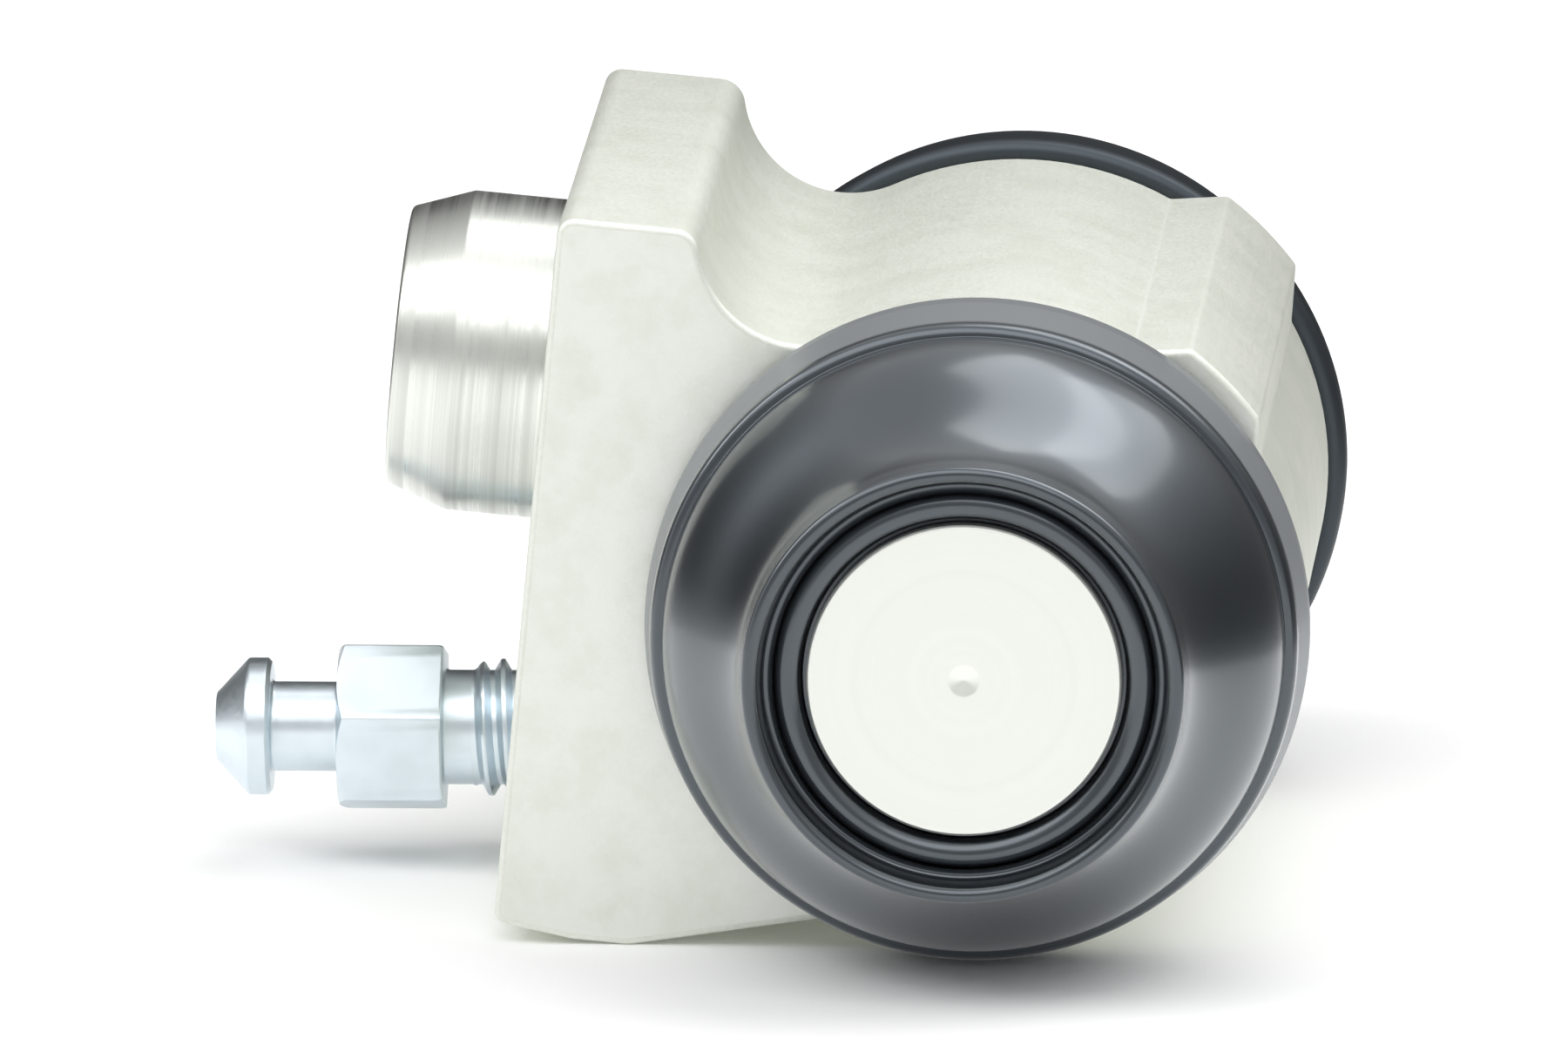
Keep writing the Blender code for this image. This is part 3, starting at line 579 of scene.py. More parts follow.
def gloss(tree, grain, low, high):
    """Return a roughness from low to high, over the values that a noise mostly has."""
    return value_range(tree, grain, low, high, 0.3, 0.7)


def blend_colours(tree, share, low, high, start=0.3, end=0.7):
    """Return a colour between two, as a value goes from start to end."""
    factor = value_range(tree, share, 0.0, 1.0, start, end)
    mix = add(tree, "ShaderNodeMix", {"data_type": "RGBA", "Factor": factor})
    sockets = [s for s in mix.inputs if s.name in ("A", "B") and s.type == "RGBA"]
    for socket, value in zip(sockets, (low, high)):
        if isinstance(value, bpy.types.NodeSocket):
            tree.links.new(value, socket)
        else:
            socket.default_value = (*value, 1)
    return [s for s in mix.outputs if s.type == "RGBA"][0]


def worn_edges(tree, base, bright, start=0.1):
    """Return a base colour that turns brighter where edges are worn."""
    worn = add(tree, "ShaderNodeAttribute", {"attribute_name": "worn"}).outputs["Fac"]
    return blend_colours(tree, worn, base, bright, start, 1.0)


def cast_aluminium(colours):
    """Die-cast aluminium, bead-blasted: pale, matt and fine-grained, brighter on its edges.

    Blasting leaves dimples of about 0.2 mm, and the casting skin is faintly mottled.
    """
    material, tree, shader, place = finish("bead_blasted_cast_aluminium", 1.0, 0.55)
    mottle = noise(tree, place, 4.0, 5.0, 0.6)
    base = blend_colours(tree, mottle, colours.cast_dark, colours.cast, 0.25, 0.6)
    base = worn_edges(tree, base, colours.machined)
    grit = noise(tree, place, 0.22, 3.0, 0.6)
    dress(tree, shader, base, gloss(tree, grit, 0.6, 0.76), grit, 0.02 * MM, 0.6)
    return material


def faced_aluminium(colours):
    """Aluminium faced on a lathe, then blasted: matt, with the cutter's rings gone.

    Clouds of 3 mm are a little warmer and darker, and the grit leaves a grain of 0.15 mm.
    """
    material, tree, shader, place = finish("faced_blasted_aluminium", 1.0, 0.48)
    cloud = noise(tree, place, 3.0, 4.0, 0.6)
    grain = noise(tree, place, 0.15, 3.0, 0.6)
    base = blend_colours(tree, cloud, colours.cast_dark, colours.machined, 0.2, 0.55)
    base = worn_edges(tree, base, colours.machined)
    dress(tree, shader, base, gloss(tree, grain, 0.42, 0.54), grain, 0.012 * MM, 0.5)
    return material


def turned_aluminium(name, colours, origin, along, feed, contrast, roughness):
    """Aluminium turned on a lathe: satin, with marks that run round the axis.

    The marks are a noise of w = a + r, with a along the axis and r from it, so they run
    round a shaft and in rings on its end. The tool's feed is given in millimetres.
    """
    material, tree, shader, place = finish(name, 1.0, roughness)
    across = [1 - abs(value) for value in along]
    kind = "ShaderNodeVectorMath"
    moved = add(tree, kind, {"operation": "SUBTRACT", 0: place, 1: origin}).outputs["Vector"]
    flat = add(tree, kind, {"operation": "MULTIPLY", 0: moved, 1: across}).outputs["Vector"]
    radius = add(tree, kind, {"operation": "LENGTH", 0: flat}).outputs["Value"]
    reach = add(tree, kind, {"operation": "DOT_PRODUCT", 0: moved, 1: along}).outputs["Value"]
    w = maths(tree, "ADD", radius, reach)
    values = {"noise_dimensions": "1D", "W": w, "Scale": per(feed), "Detail": 5.0, "Roughness": 0.7}
    marks = add(tree, "ShaderNodeTexNoise", values).outputs["Fac"]
    dull = [(1 - contrast) * c for c in colours.machined]
    base = blend_colours(tree, marks, dull, colours.machined)
    shine = gloss(tree, marks, roughness + 0.5 * contrast, roughness - 0.3 * contrast)
    dress(tree, shader, base, shine, marks, 0.02 * MM, contrast)
    return material


def zinc_plate(colours):
    """Steel, zinc-plated and passivated clear: bright, slightly blue and faintly clouded."""
    material, tree, shader, place = finish("bright_zinc_plated_steel", 1.0, 0.35)
    cloud = noise(tree, place, 3.0, 2.0, 0.5)
    dull = [0.92 * c for c in colours.zinc]
    bright = [min(1.0, 1.06 * c) for c in colours.zinc]
    base = blend_colours(tree, cloud, dull, colours.zinc, 0.3, 0.55)
    base = worn_edges(tree, base, bright, 0.2)
    grain = noise(tree, place, 0.3, 2.0)
    dress(tree, shader, base, gloss(tree, grain, 0.32, 0.38), grain, 0.004 * MM, 0.3)
    return material


def boot_rubber(colours, collar_end):
    """EPDM, moulded: nearly black and glossy on the bell, duller on the collar.

    The mould's polish ends at the ring, so the gloss changes over 0.4 mm there. The
    front boot's collar is paler, partly from dust and partly from a painted sheen of
    reflected light; the rear boot's collar keeps the dark rubber, as if in shade.
    """
    lacquer = {
        "IOR": 1.52,
        "Specular IOR Level": 0.8,
        "Specular Tint": (0.74, 0.88, 1.0, 1.0),
        "Coat Tint": (0.95, 0.98, 1.0, 1.0),
        "Coat Roughness": 0.16,
    }
    material, tree, shader, place = finish("moulded_epdm_rubber", 0.0, 0.3, lacquer)
    along = add(tree, "ShaderNodeSeparateXYZ", {"Vector": place}).outputs["Y"]
    reach = maths(tree, "ABSOLUTE", along)
    bell = value_range(tree, reach, 0.0, 1.0, collar_end - 0.4 * MM, collar_end)
    tree.links.new(value_range(tree, bell, 0.1, 1.0), shader.inputs["Coat Weight"])
    flow = noise(tree, place, 6.0, 2.0, 0.5)
    grain = noise(tree, place, 0.35, 2.0)
    dusty = [c + 0.004 for c in colours.boot]
    polished = blend_colours(tree, flow, colours.boot, dusty, 0.35, 0.75)
    # painted sheen: where Y is below zero, the front boot's collar gets the paler collar colour,
    # partly dust and partly painted reflected light; the rear collar stays dark as if shaded
    collar = blend_colours(tree, along, colours.collar, colours.boot, -MM, MM)
    base = blend_colours(tree, bell, collar, polished, 0.0, 1.0)
    dress(tree, shader, base, value_range(tree, bell, 0.45, 0.3), grain, 0.01 * MM, 0.3)
    return material


def seal_rubber(colours):
    """SBR seal rubber, moulded matt: black with a fine grain."""
    material, tree, shader, place = finish("moulded_seal_rubber", 0.0, 0.55)
    grain = noise(tree, place, 0.4, 3.0)
    pale = [c + 0.01 for c in colours.seal]
    base = blend_colours(tree, grain, colours.seal, pale)
    dress(tree, shader, base, None, grain, 0.02 * MM, 0.5)
    return material


def steel(name, base, roughness, grain_size):
    """Bare steel, rolled or drawn: grey and satin, with a fine grain in its gloss."""
    material, tree, shader, place = finish(name, 1.0, roughness)
    grain = noise(tree, place, grain_size, 4.0, 0.6)
    dull = [0.8 * c for c in base]
    shine = gloss(tree, grain, roughness - 0.08, roughness + 0.1)
    dress(tree, shader, blend_colours(tree, grain, dull, base), shine, grain, 0.01 * MM, 0.4)
    return material


def section_outline(body, block):
    """Return the body's section, anticlockwise round the bore's axis, with its wear.

    The round part, the fillets, the foot and the corners are arcs that touch each
    other. The rib's four corners are rounded. The last run is the mounting face.
    """
    face, radius = -AXIS_X, body.radius
    fillet_x = face + block.thickness + block.fillet
    fillet_y = math.sqrt((radius + block.fillet) ** 2 - fillet_x ** 2)
    upper = math.atan2(fillet_y, fillet_x)
    span = block.fillet + block.corner
    lean = math.asin((block.top - block.corner - fillet_y) / span)
    corner = (fillet_x - span * math.cos(lean), fillet_y + span * math.sin(lean))
    face_top = (face + block.face_corner, block.top - block.face_corner)
    heel = (face + block.heel_corner, block.heel_relief + block.heel_corner - block.bottom)
    foot_x = face + block.foot_length - block.foot_corner * math.tan(block.foot_slope / 2)
    foot = (foot_x, block.foot_corner - block.bottom)
    slope = block.foot_slope
    along, out = (math.cos(slope), math.sin(slope)), (math.sin(slope), -math.cos(slope))
    reach = block.foot_corner + block.foot_fillet
    start = (foot[0] + out[0] * reach, foot[1] + out[1] * reach)
    half = start[0] * along[0] + start[1] * along[1]
    rest = start[0] ** 2 + start[1] ** 2 - (radius + block.foot_fillet) ** 2
    travel = -half - math.sqrt(half ** 2 - rest)
    fillet = (start[0] + travel * along[0], start[1] + travel * along[1])
    lower = math.atan2(-fillet[1], -fillet[0])
    rib_top = radius + block.rib_height
    rib_foot = math.asin(block.rib_foot / 2 / radius)
    rib_half = math.asin(block.rib_top / 2 / rib_top)
    down, coarse = 1.5 * math.pi, math.radians(10)
    runs = [
        arc((0, 0), radius, lower - math.pi, block.rib_angle - rib_foot),
        arc((0, 0), rib_top, block.rib_angle - rib_half, block.rib_angle + rib_half),
        arc((0, 0), radius, block.rib_angle + rib_foot, upper),
        arc((fillet_x, fillet_y), block.fillet, upper - math.pi, -math.pi - lean),
        arc(corner, block.corner, -lean, math.pi / 2, coarse),
        arc(face_top, block.face_corner, math.pi / 2, math.pi, coarse),
        arc(heel, block.heel_corner, math.pi, down, coarse),
        [(face + block.heel_length, -block.bottom)],
        arc(foot, block.foot_corner, down, down + slope),
        arc(fillet, block.foot_fillet, math.pi / 2 + slope, lower),
    ]
    line = apart(np.concatenate(runs))[:-1]
    sharp = bends(line) > 0.2
    line = rounded(line, np.where(sharp, block.rib_corner, 0), closed=True)
    gap = np.linalg.norm(line[0, :2] - line[-1, :2])
    line = line if gap > WELD else line[:-1]
    runs = np.linalg.norm((np.roll(line, -1, axis=0) - line)[:, :2], axis=1)
    shift = np.argmax(runs) + 1
    return np.roll(hold_ends(np.roll(line, -shift, axis=0), closed=True), 1, axis=0)


def section_walls(body, outline):
    """Return the body's outer wall, the rings of its ends and its opening's corners.

    The wall is the section carried along Y. Near each end the section is inset by edge *
    (1 - sin a) while the height falls by edge * (1 - cos a), so the edge is a quarter
    round. The mounting face's middle is left open, for a face with holes.
    """
    end = body.neck_end - body.neck_length
    a = np.linspace(0, math.pi / 2, 5)
    depth = [body.edge + HOLD, *(body.edge * (1 - np.sin(a))), 0]
    height = [end, *(end - body.edge * (1 - np.cos(a))), end - body.edge - HOLD]
    rim = np.array([0, 0.4, 1, 1, 0.4, 0, 0])
    rows = []
    for inwards, y, share in zip(depth, height, rim):
        x, z, worn = inset(outline, inwards).T
        columns = [AXIS_X + x, np.full(len(x), y), AXIS_Z + z, np.maximum(worn, share)]
        rows.append(np.stack(columns, axis=1))
    half = np.stack(rows)
    half = np.concatenate([half, half[:, :1]], axis=1)
    other = half[::-1] * np.array([1, -1, 1, 1])
    wall = np.concatenate([half, other])
    front, rear = len(half) - 1, len(half)
    open_face = rear * (wall.shape[1] - 1) - 1
    faces = np.delete(grid_faces(*wall.shape[:2]), open_face, axis=0)
    surface = (wall[..., :3].reshape(-1, 3), faces, wall[..., 3].ravel(), 0)
    frame_corners = wall[[front, front, rear, rear], [-2, -1, -1, -2], :3]
    return surface, half[0, :-1, :3], other[-1, :-1, :3], frame_corners


def neck_and_bore(body):
    """Return one end's neck, from the end face over its grooves into the bore's middle."""
    neck, end = body.neck_radius, body.neck_end
    face = end - body.neck_length
    start, stop = face + body.groove_start, face + body.groove_start + body.groove_width
    floor, bore, mouth = neck - body.groove_depth, body.bore_radius, 0.5 * MM
    return turned([
        (neck + body.root + HOLD, face, 0),
        (neck, face, body.root),
        (neck, start, 0.1 * MM),
        (floor, start, 0.2 * MM),
        (floor, stop, 0.2 * MM),
        (neck, stop, 0.1 * MM),
        (neck, end - body.neck_edge, 0.15 * MM),
        (neck - body.neck_edge, end, 0.15 * MM),
        (bore + mouth, end, 0.1 * MM),
        (bore, end - mouth, 0.1 * MM),
        (bore, 0, 0),
    ])


def drill_point(wide, narrow):
    """Return the length of a drill point of 118 degrees between two radii."""
    return (wide - narrow) / math.tan(math.radians(59))


def spigot_surfaces(body, port, angles):
    """Return the spigot, its threaded port and the feed, about the inlet's axis."""
    axis = axis_frame((0, 0, AXIS_Z + port.rise), (-1, 0, 0), (0, 1, 0))
    seat, mouth = port.reach - port.port_depth, port.reach - port.port_edge
    outside = turned([
        (port.radius + body.root + HOLD, 0, 0),
        (port.radius, 0, body.root),
        (port.radius, port.reach - port.taper_length, 0.5 * MM),
        (port.radius - port.taper, port.reach, 0.35 * MM),
        (port.port_radius + port.port_edge, port.reach, 0.08 * MM),
        (port.port_radius, mouth, 0),
    ])
    cone = seat - drill_point(port.port_radius, port.feed_radius)
    stop = body.bore_radius - AXIS_X
    inner = [
        (port.port_radius, seat, 0),
        (port.feed_radius, cone, 0.3),
        (port.feed_radius, stop, 0),
        (0, stop, 0),
    ]
    return [
        spin(outside, angles, axis, 2),
        thread(port.port_radius, port.thread, port.pitch, seat, mouth, angles, axis, 2),
        spin(inner, angles, axis, 2),
    ]


def fixing_surfaces(port, y, angles):
    """Return one threaded fixing hole in the mounting face."""
    axis = axis_frame((0, y, 0), (-1, 0, 0), (0, 1, 0))
    radius, edge, bottom = port.fixing_radius, port.fixing_edge, -port.fixing_depth
    point = bottom - drill_point(radius, 0)
    return [
        spin([(radius + edge, 0, 0), (radius, -edge, 0)], angles, axis, 1),
        thread(radius, port.thread, port.pitch, bottom, -edge, angles, axis, 1),
        spin([(radius, bottom, 0), (0, point, 0)], angles, axis, 1),
    ]


def screw_axis(screw):
    """Return the bleed screw's axis, from where it leaves the mounting face."""
    along = (-math.cos(screw.tilt), 0, -math.sin(screw.tilt))
    return axis_frame((0, 0, AXIS_Z - screw.drop), along, (0, 1, 0))


def bleed_hole_surface(screw, angles):
    """Return the bleed hole and the loop where its chamfer leaves the mounting face.

    The chamfer's cone has the radius hole + edge + h at the height h along the tilted
    axis. It meets the face, where x is 0, at the height
    -(hole + edge) * s / (axis x + s), with s the ray's own x.
    """
    axis = screw_axis(screw)
    wide = screw.hole_radius + screw.hole_edge
    lean = np.sin(angles) * axis[3][0]
    height = -wide * lean / (axis[1][0] + lean)
    straight = screw.hole_depth + screw.seat_straight
    cone = -straight - drill_point(screw.seat_radius, screw.passage_radius)
    inside = -22 * MM
    step = screw.hole_radius - screw.seat_radius
    rest = [
        (screw.hole_radius, -screw.hole_edge, 0),
        (screw.hole_radius, -screw.hole_depth, 0),
        (screw.seat_radius, -screw.hole_depth - step, 0),
        (screw.seat_radius, -straight, 0),
        (screw.passage_radius, cone, 0),
        (screw.passage_radius, inside, 0),
        (0, inside, 0),
    ]
    rows = ring_rows(len(angles), [(wide + height, height, 0), *rest])
    surface = spin(rows, angles, axis, 1)
    return surface, surface[0][:len(angles) - 1]


def body_surfaces(body, block, port, screw):
    """Return the surfaces that close up to the whole cylinder body."""
    outline = section_outline(body, block)
    wall, front_ring, rear_ring, frame_corners = section_walls(body, outline)
    wide, small = around(128), around(72)
    surfaces = [wall]
    for side, ring in ((-1, rear_ring), (1, front_ring)):
        neck = spin(neck_and_bore(body), wide, bore_axis(side), 1)
        surfaces.append(neck)
        surfaces.append(flat_face([ring, neck[0][:len(wide) - 1]], 1))
    spigot = spigot_surfaces(body, port, wide)
    surfaces += spigot
    holes = [spigot[0][0][:len(wide) - 1]]
    for side in (-1, 1):
        fixing = fixing_surfaces(port, side * port.fixing_spacing / 2, small)
        surfaces += fixing
        holes.append(fixing[0][0][:len(small) - 1])
    bleed, mouth = bleed_hole_surface(screw, small)
    surfaces.append(bleed)
    surfaces.append(flat_face([frame_corners, *holes, mouth], 1))
    return surfaces


def piston_profile(piston):
    """Return a piston: its face with the centre mark, the lip's groove, nose and skirt."""
    flange = piston.face - piston.flange
    groove = flange - piston.groove_width
    shoulder = piston.inner_end + piston.skirt_length
    nose, skirt = piston.nose_radius, piston.skirt_radius
    edge, face_edge = piston.edge, piston.face_edge
    return turned([
        (0, piston.face - piston.dimple_depth, 0),
        (piston.dimple_radius, piston.face, 0.4 * MM),
        (nose - face_edge, piston.face, 0.1 * MM),
        (nose, piston.face - face_edge, 0.1 * MM),
        (nose, flange, 0.08 * MM),
        (nose - piston.groove_depth, flange, 0.2 * MM),
        (nose - piston.groove_depth, groove, 0.2 * MM),
        (nose, groove, 0.08 * MM),
        (nose, shoulder, 0.25 * MM),
        (skirt - edge, shoulder, 0.1 * MM),
        (skirt, shoulder - edge, 0.1 * MM),
        (skirt, piston.inner_end + edge, 0.1 * MM),
        (skirt - edge, piston.inner_end, 0.1 * MM),
        (0, piston.inner_end, 0),
    ], side=-1)


def cup_profile(piston, seal):
    """Return a cup seal: its flat back at the piston and its lip towards the fluid."""
    outside = piston.skirt_radius
    back = piston.inner_end - seal.gap
    floor, lip_end = back - seal.cup_base, back - seal.cup_length
    edge = seal.cup_edge
    return turned([
        (0, back, 0),
        (outside - 2 * edge, back, 0.3 * MM),
        (outside - edge, back - edge, 0.3 * MM),
        (outside - edge / 2, floor, 0.6 * MM),
        (outside, lip_end + edge, 0.3 * MM),
        (outside - edge / 2, lip_end, 0.15 * MM),
        (outside - seal.cup_lip, lip_end, 0.15 * MM),
        (outside - seal.cup_root, floor, 0.8 * MM),
        (0, floor, 0),
    ], side=-1)


def expander_profile(piston, seal):
    """Return a pressed cap whose flared skirt follows the inside of the cup's lip."""
    back = piston.inner_end - 2 * seal.gap - seal.cup_base
    inner = piston.skirt_radius - seal.cup_root
    slope = (seal.cup_root - seal.cup_lip) / (seal.cup_length - seal.cup_base)
    square = math.hypot(1, slope)
    start = inner - seal.gap * square
    rim, inward = start + seal.flare * slope, seal.sheet * square
    return turned([
        (0, back, 0),
        (start, back, 0.7 * MM),
        (rim, back - seal.flare, 0.1 * MM),
        (rim - inward, back - seal.flare, 0.1 * MM),
        (start + seal.sheet * slope - inward, back - seal.sheet, 0.3 * MM),
        (0, back - seal.sheet, 0),
    ], side=-1)


def spring_surface(piston, seal, side):
    """Return one half of the spring, a round wire carried along a helix.

    The middle of the wire is (R cos a, R sin a, h(a)). The height h rises by 1.06 times
    the wire's width in the closed turn at the end, and evenly in the open turns.
    """
    steps = 48
    end = piston.inner_end - 3 * seal.gap - seal.cup_base - seal.sheet
    wire, radius = seal.wire / 2, seal.coil_radius
    closed = 1.06 * seal.wire
    opened = (2 * end - seal.wire - 2 * closed) / (seal.turns - 2)
    turns = np.linspace(0, seal.turns / 2, steps * seal.turns // 2 + 1)
    middle = np.clip(turns - 1, 0, seal.turns - 2)
    height = wire - end + closed * (turns - middle) + opened * middle
    a = FULL * turns
    rise = np.gradient(height, a)
    across = np.stack([np.cos(a), np.sin(a), np.zeros_like(a)], axis=1)
    forward = np.stack([-radius * np.sin(a), radius * np.cos(a), rise], axis=1)
    forward /= np.linalg.norm(forward, axis=1)[:, None]
    up = np.cross(across, forward)
    path = np.stack([radius * np.cos(a), radius * np.sin(a), height], axis=1)
    ends = np.array([0, 1, *np.ones(len(a) - 2), 1, 0])
    path = np.concatenate([path[:1], path, path[-1:]])
    across, up = (np.concatenate([v[:1], v, v[-1:]]) for v in (across, up))
    b = around(16)
    ring = np.cos(b)[None, :, None] * across[:, None] + np.sin(b)[None, :, None] * up[:, None]
    points = path[:, None] + wire * ends[:, None, None] * ring
    points = points * np.array([1, side, side])
    placed = np.stack([AXIS_X + points[..., 0], points[..., 2], AXIS_Z + points[..., 1]], axis=-1)
    return placed.reshape(-1, 3), grid_faces(*placed.shape[:2]), np.zeros(placed[..., 0].size), 0


def boot_profile(body, piston, boot, gap):
    """Return a dust boot's closed section.

    Its bead sits in the neck's groove. The collar is widest near the body and tapers to
    the ring. From the ring's edge the bell closes in along
    waist + (shoulder - waist) * cos(t) ** curve, with t from 0 to 84 degrees, to the
    crest. There it folds back down a flank, which touches the arcs of crest and valley,
    and on to the lip in the piston's groove.
    """
    shoulder = boot.ring - boot.ring_edge
    neck_end, face = body.neck_end, piston.face
    back = neck_end - body.neck_length + gap
    ring_at = neck_end + boot.ring_lead
    lip, lip_at = piston.nose_radius + gap, face + boot.lip_lead - boot.lip_radius
    valley = lip + 2 * boot.lip_radius + boot.valley_radius
    crest = valley + boot.crest_out
    crest_at = face + boot.crest_lead - boot.crest_radius
    valley_at = crest_at + boot.crest_radius - boot.valley_depth + boot.valley_radius
    rise, arcs = crest_at - valley_at, boot.valley_radius + boot.crest_radius
    flank = math.sqrt(boot.crest_out ** 2 + rise ** 2 - arcs ** 2)
    lean = math.atan2(flank, arcs) - math.atan2(rise, boot.crest_out)
    waist = crest + boot.crest_radius
    t = np.radians(np.linspace(0, 84, 43))
    bell = np.stack([
        waist + (shoulder - waist) * np.cos(t) ** boot.bell_curve,
        ring_at + (crest_at - ring_at) * t / (math.pi / 2),
    ], axis=1)
    step = np.gradient(bell, axis=0)
    step /= np.linalg.norm(step, axis=1)[:, None]
    inside = bell - boot.wall * np.stack([step[:, 1], -step[:, 0]], axis=1)
    past_neck = inside[:, 1] > neck_end + gap
    inside = inside[past_neck & (inside[:, 0] > crest - 0.2 * MM)]
    fine = math.radians(12)
    half, edge = math.pi / 2, boot.collar_edge
    start = neck_end - body.neck_length + body.groove_start + gap
    stop = start + body.groove_width - 2 * gap
    seat = body.neck_radius + gap
    bead = seat - body.groove_depth
    under = valley_at - boot.valley_radius - boot.wall
    flange = face - piston.flange
    held = piston.nose_radius - piston.groove_depth + gap
    lip_back = flange - piston.groove_width + gap
    smooth = [
        arc((lip + boot.lip_radius, lip_at), boot.lip_radius, math.pi, 0, fine),
        arc((valley, valley_at), boot.valley_radius, math.pi, FULL - lean, fine),
        arc((crest, crest_at), boot.crest_radius, math.pi - lean, 0, fine),
        bell[::-1],
        arc((shoulder, ring_at - boot.ring_edge), boot.ring_edge, half, 0, fine),
        [(boot.collar, back + boot.collar_length)],
        arc((boot.collar - edge, back + edge), edge, 0, -half, fine),
    ]
    corners = [
        [(seat, back), (seat, start), (bead, start), (bead, stop), (seat, stop)],
        [(seat, neck_end + gap)],
        inside,
        [(crest - 0.1 * MM, under + gap), (valley, under), (lip + boot.lip_radius, lip_back)],
        [(held, lip_back), (held, flange - gap), (lip, flange - gap)],
    ]
    line = apart(np.concatenate([np.asarray(run, float) for run in smooth + corners]))
    sharp = bends(line) > 0.3
    line = rounded(line, np.where(sharp, 0.12 * MM, 0), closed=True, side=-1)
    line = hold_ends(line, closed=True)
    return np.concatenate([line, line[:1]])


def hexagon_angles(screw):
    """Return angles right round that fall on the hexagon's rounded corners."""
    wide, side = 1.4, 60
    corner = wide * np.array([-1, -0.5, 0, 0.5, 1])
    flat = np.linspace(wide, side - wide, 15)[1:-1]
    turns = np.concatenate([np.concatenate([corner, flat]) + side * i for i in range(6)])
    turns = np.radians(turns)
    return np.append(turns, turns[0] + FULL) + screw.hex_turn


def hexagon_rows(screw, angles):
    """Return the hexagon, its corners cut back by a cone of 30 degrees at its outer end.

    Its radius is flats / 2 / cos a between the corners, and there the far side of a
    circle of radius 0.25 mm. The cone crosses it at end - (radius - flats / 2) * tan 30.
    """
    half, small, wide = screw.hex_flats / 2, 0.25 * MM, math.radians(1.5)
    from_corner = (angles - screw.hex_turn + math.pi / 6) % (math.pi / 3) - math.pi / 6
    straight = half / np.cos(math.pi / 6 - np.abs(from_corner))
    centre = (half - small) / math.cos(math.pi / 6)
    off = centre * np.sin(from_corner)
    curved = centre * np.cos(from_corner) + np.sqrt(np.maximum(small ** 2 - off ** 2, 0))
    radius = np.where(np.abs(from_corner) < wide, curved, straight)
    start = screw.thread_out + screw.relief_length
    end = start + screw.hex_length
    cone = end - (radius - half) * math.tan(math.pi / 6)
    corner = np.clip(1 - np.abs(from_corner) / wide, 0, 1)
    bevel, lift, edge = 0.45 * MM, 0.12 * MM, 0.2 * MM
    past_flat = radius - np.minimum(radius, half + bevel)
    return ring_rows(len(angles), [
        (half - HOLD, end, 0),
        (half, end, 0.6),
        (radius, cone, 0.5 + 0.5 * corner),
        (radius, cone - HOLD, corner),
        (radius, start + lift + past_flat, corner),
        (radius - 0.4 * edge, start + 0.1 * edge, 0.6),
        (radius - edge, start, 0),
    ])


def screw_surfaces(screw, seat_gap):
    """Return the bleed screw, from its drilled nipple to its cone."""
    angles = hexagon_angles(screw)
    axis = screw_axis(screw)
    hex_start = screw.thread_out + screw.relief_length
    hex_end = hex_start + screw.hex_length
    barb = hex_end + screw.neck_length
    end = barb + screw.barb_length
    drill, neck, edge = screw.drill_radius, screw.neck_radius, 0.25 * MM
    outer = turned([
        (drill, hex_start, 0),
        (drill, end - edge, 0),
        (drill + edge, end, 0.05 * MM),
        (screw.tip_radius - edge, end, 0.2 * MM),
        (screw.tip_radius, end - edge, 0.3 * MM),
        (screw.barb_radius, barb + edge + screw.barb_band, 0.35 * MM),
        (screw.barb_radius, barb + edge, 0.12 * MM),
        (screw.barb_radius - edge, barb, 0.1 * MM),
        (neck, barb, 0.2 * MM),
        (neck, hex_end, 0.25 * MM),
        (screw.hex_flats / 2 - HOLD, hex_end, 0),
    ])
    relief, depth = screw.relief_radius, screw.thread_radius - screw.relief_radius
    low, high = seat_gap - screw.hole_depth, screw.thread_out
    hexagon = hexagon_rows(screw, angles)
    fillet = 0.07 * MM
    under = ring_rows(len(angles), [
        (relief + edge, hex_start, 0),
        (relief + fillet, hex_start - fillet, 0),
        (relief, hex_start - edge, 0),
        (relief, high, 0),
    ])
    straight = screw.hole_depth + screw.seat_straight
    seat = -straight - drill_point(screw.seat_radius, screw.passage_radius)
    contact = screw.passage_radius - seat_gap
    slope, tip, plug_depth = math.tan(math.radians(30)), 0.6 * MM, 0.5 * MM
    point = seat - (contact - tip) / slope
    cone = turned([
        (relief, low, 0),
        (screw.pilot_radius, low, 0.1 * MM),
        (screw.pilot_radius, seat + (screw.pilot_radius - contact) / slope, 0.1 * MM),
        (tip, point, 0.1 * MM),
        (0, point, 0),
    ])
    return [
        spin([(0, hex_start - plug_depth, 0), (drill, hex_start, 0)], angles, axis),
        spin(outer, angles, axis),
        spin(hexagon, angles, axis),
        spin(np.concatenate([hexagon[-1:], under]), angles, axis),
        thread(relief, depth, screw.pitch, low, high, angles, axis),
        spin(cone, angles, axis),
    ]


class WHEEL_OT_body(Operator):
    """Make the cast and machined cylinder body"""

    bl_idname = "wheel_cylinder.body"
    bl_label = "Cylinder body"

    def execute(self, context):
        """Make the piece."""
        scene = context.scene
        colours = scene.wheel_colours
        spigot = (0, 0, AXIS_Z + scene.wheel_port.rise)
        lathe = turned_aluminium("turned_spigot", colours, spigot, (1, 0, 0), 1.1, 0.26, 0.3)
        materials = [cast_aluminium(colours), faced_aluminium(colours), lathe]
        surfaces = body_surfaces(
            scene.wheel_body, scene.wheel_block, scene.wheel_port, scene.wheel_screw
        )
        node, slot = "cylinder_body", "cast_aluminium"
        new_piece("body_casting", surfaces, materials, node, "cylinder")
        return {"FINISHED"}


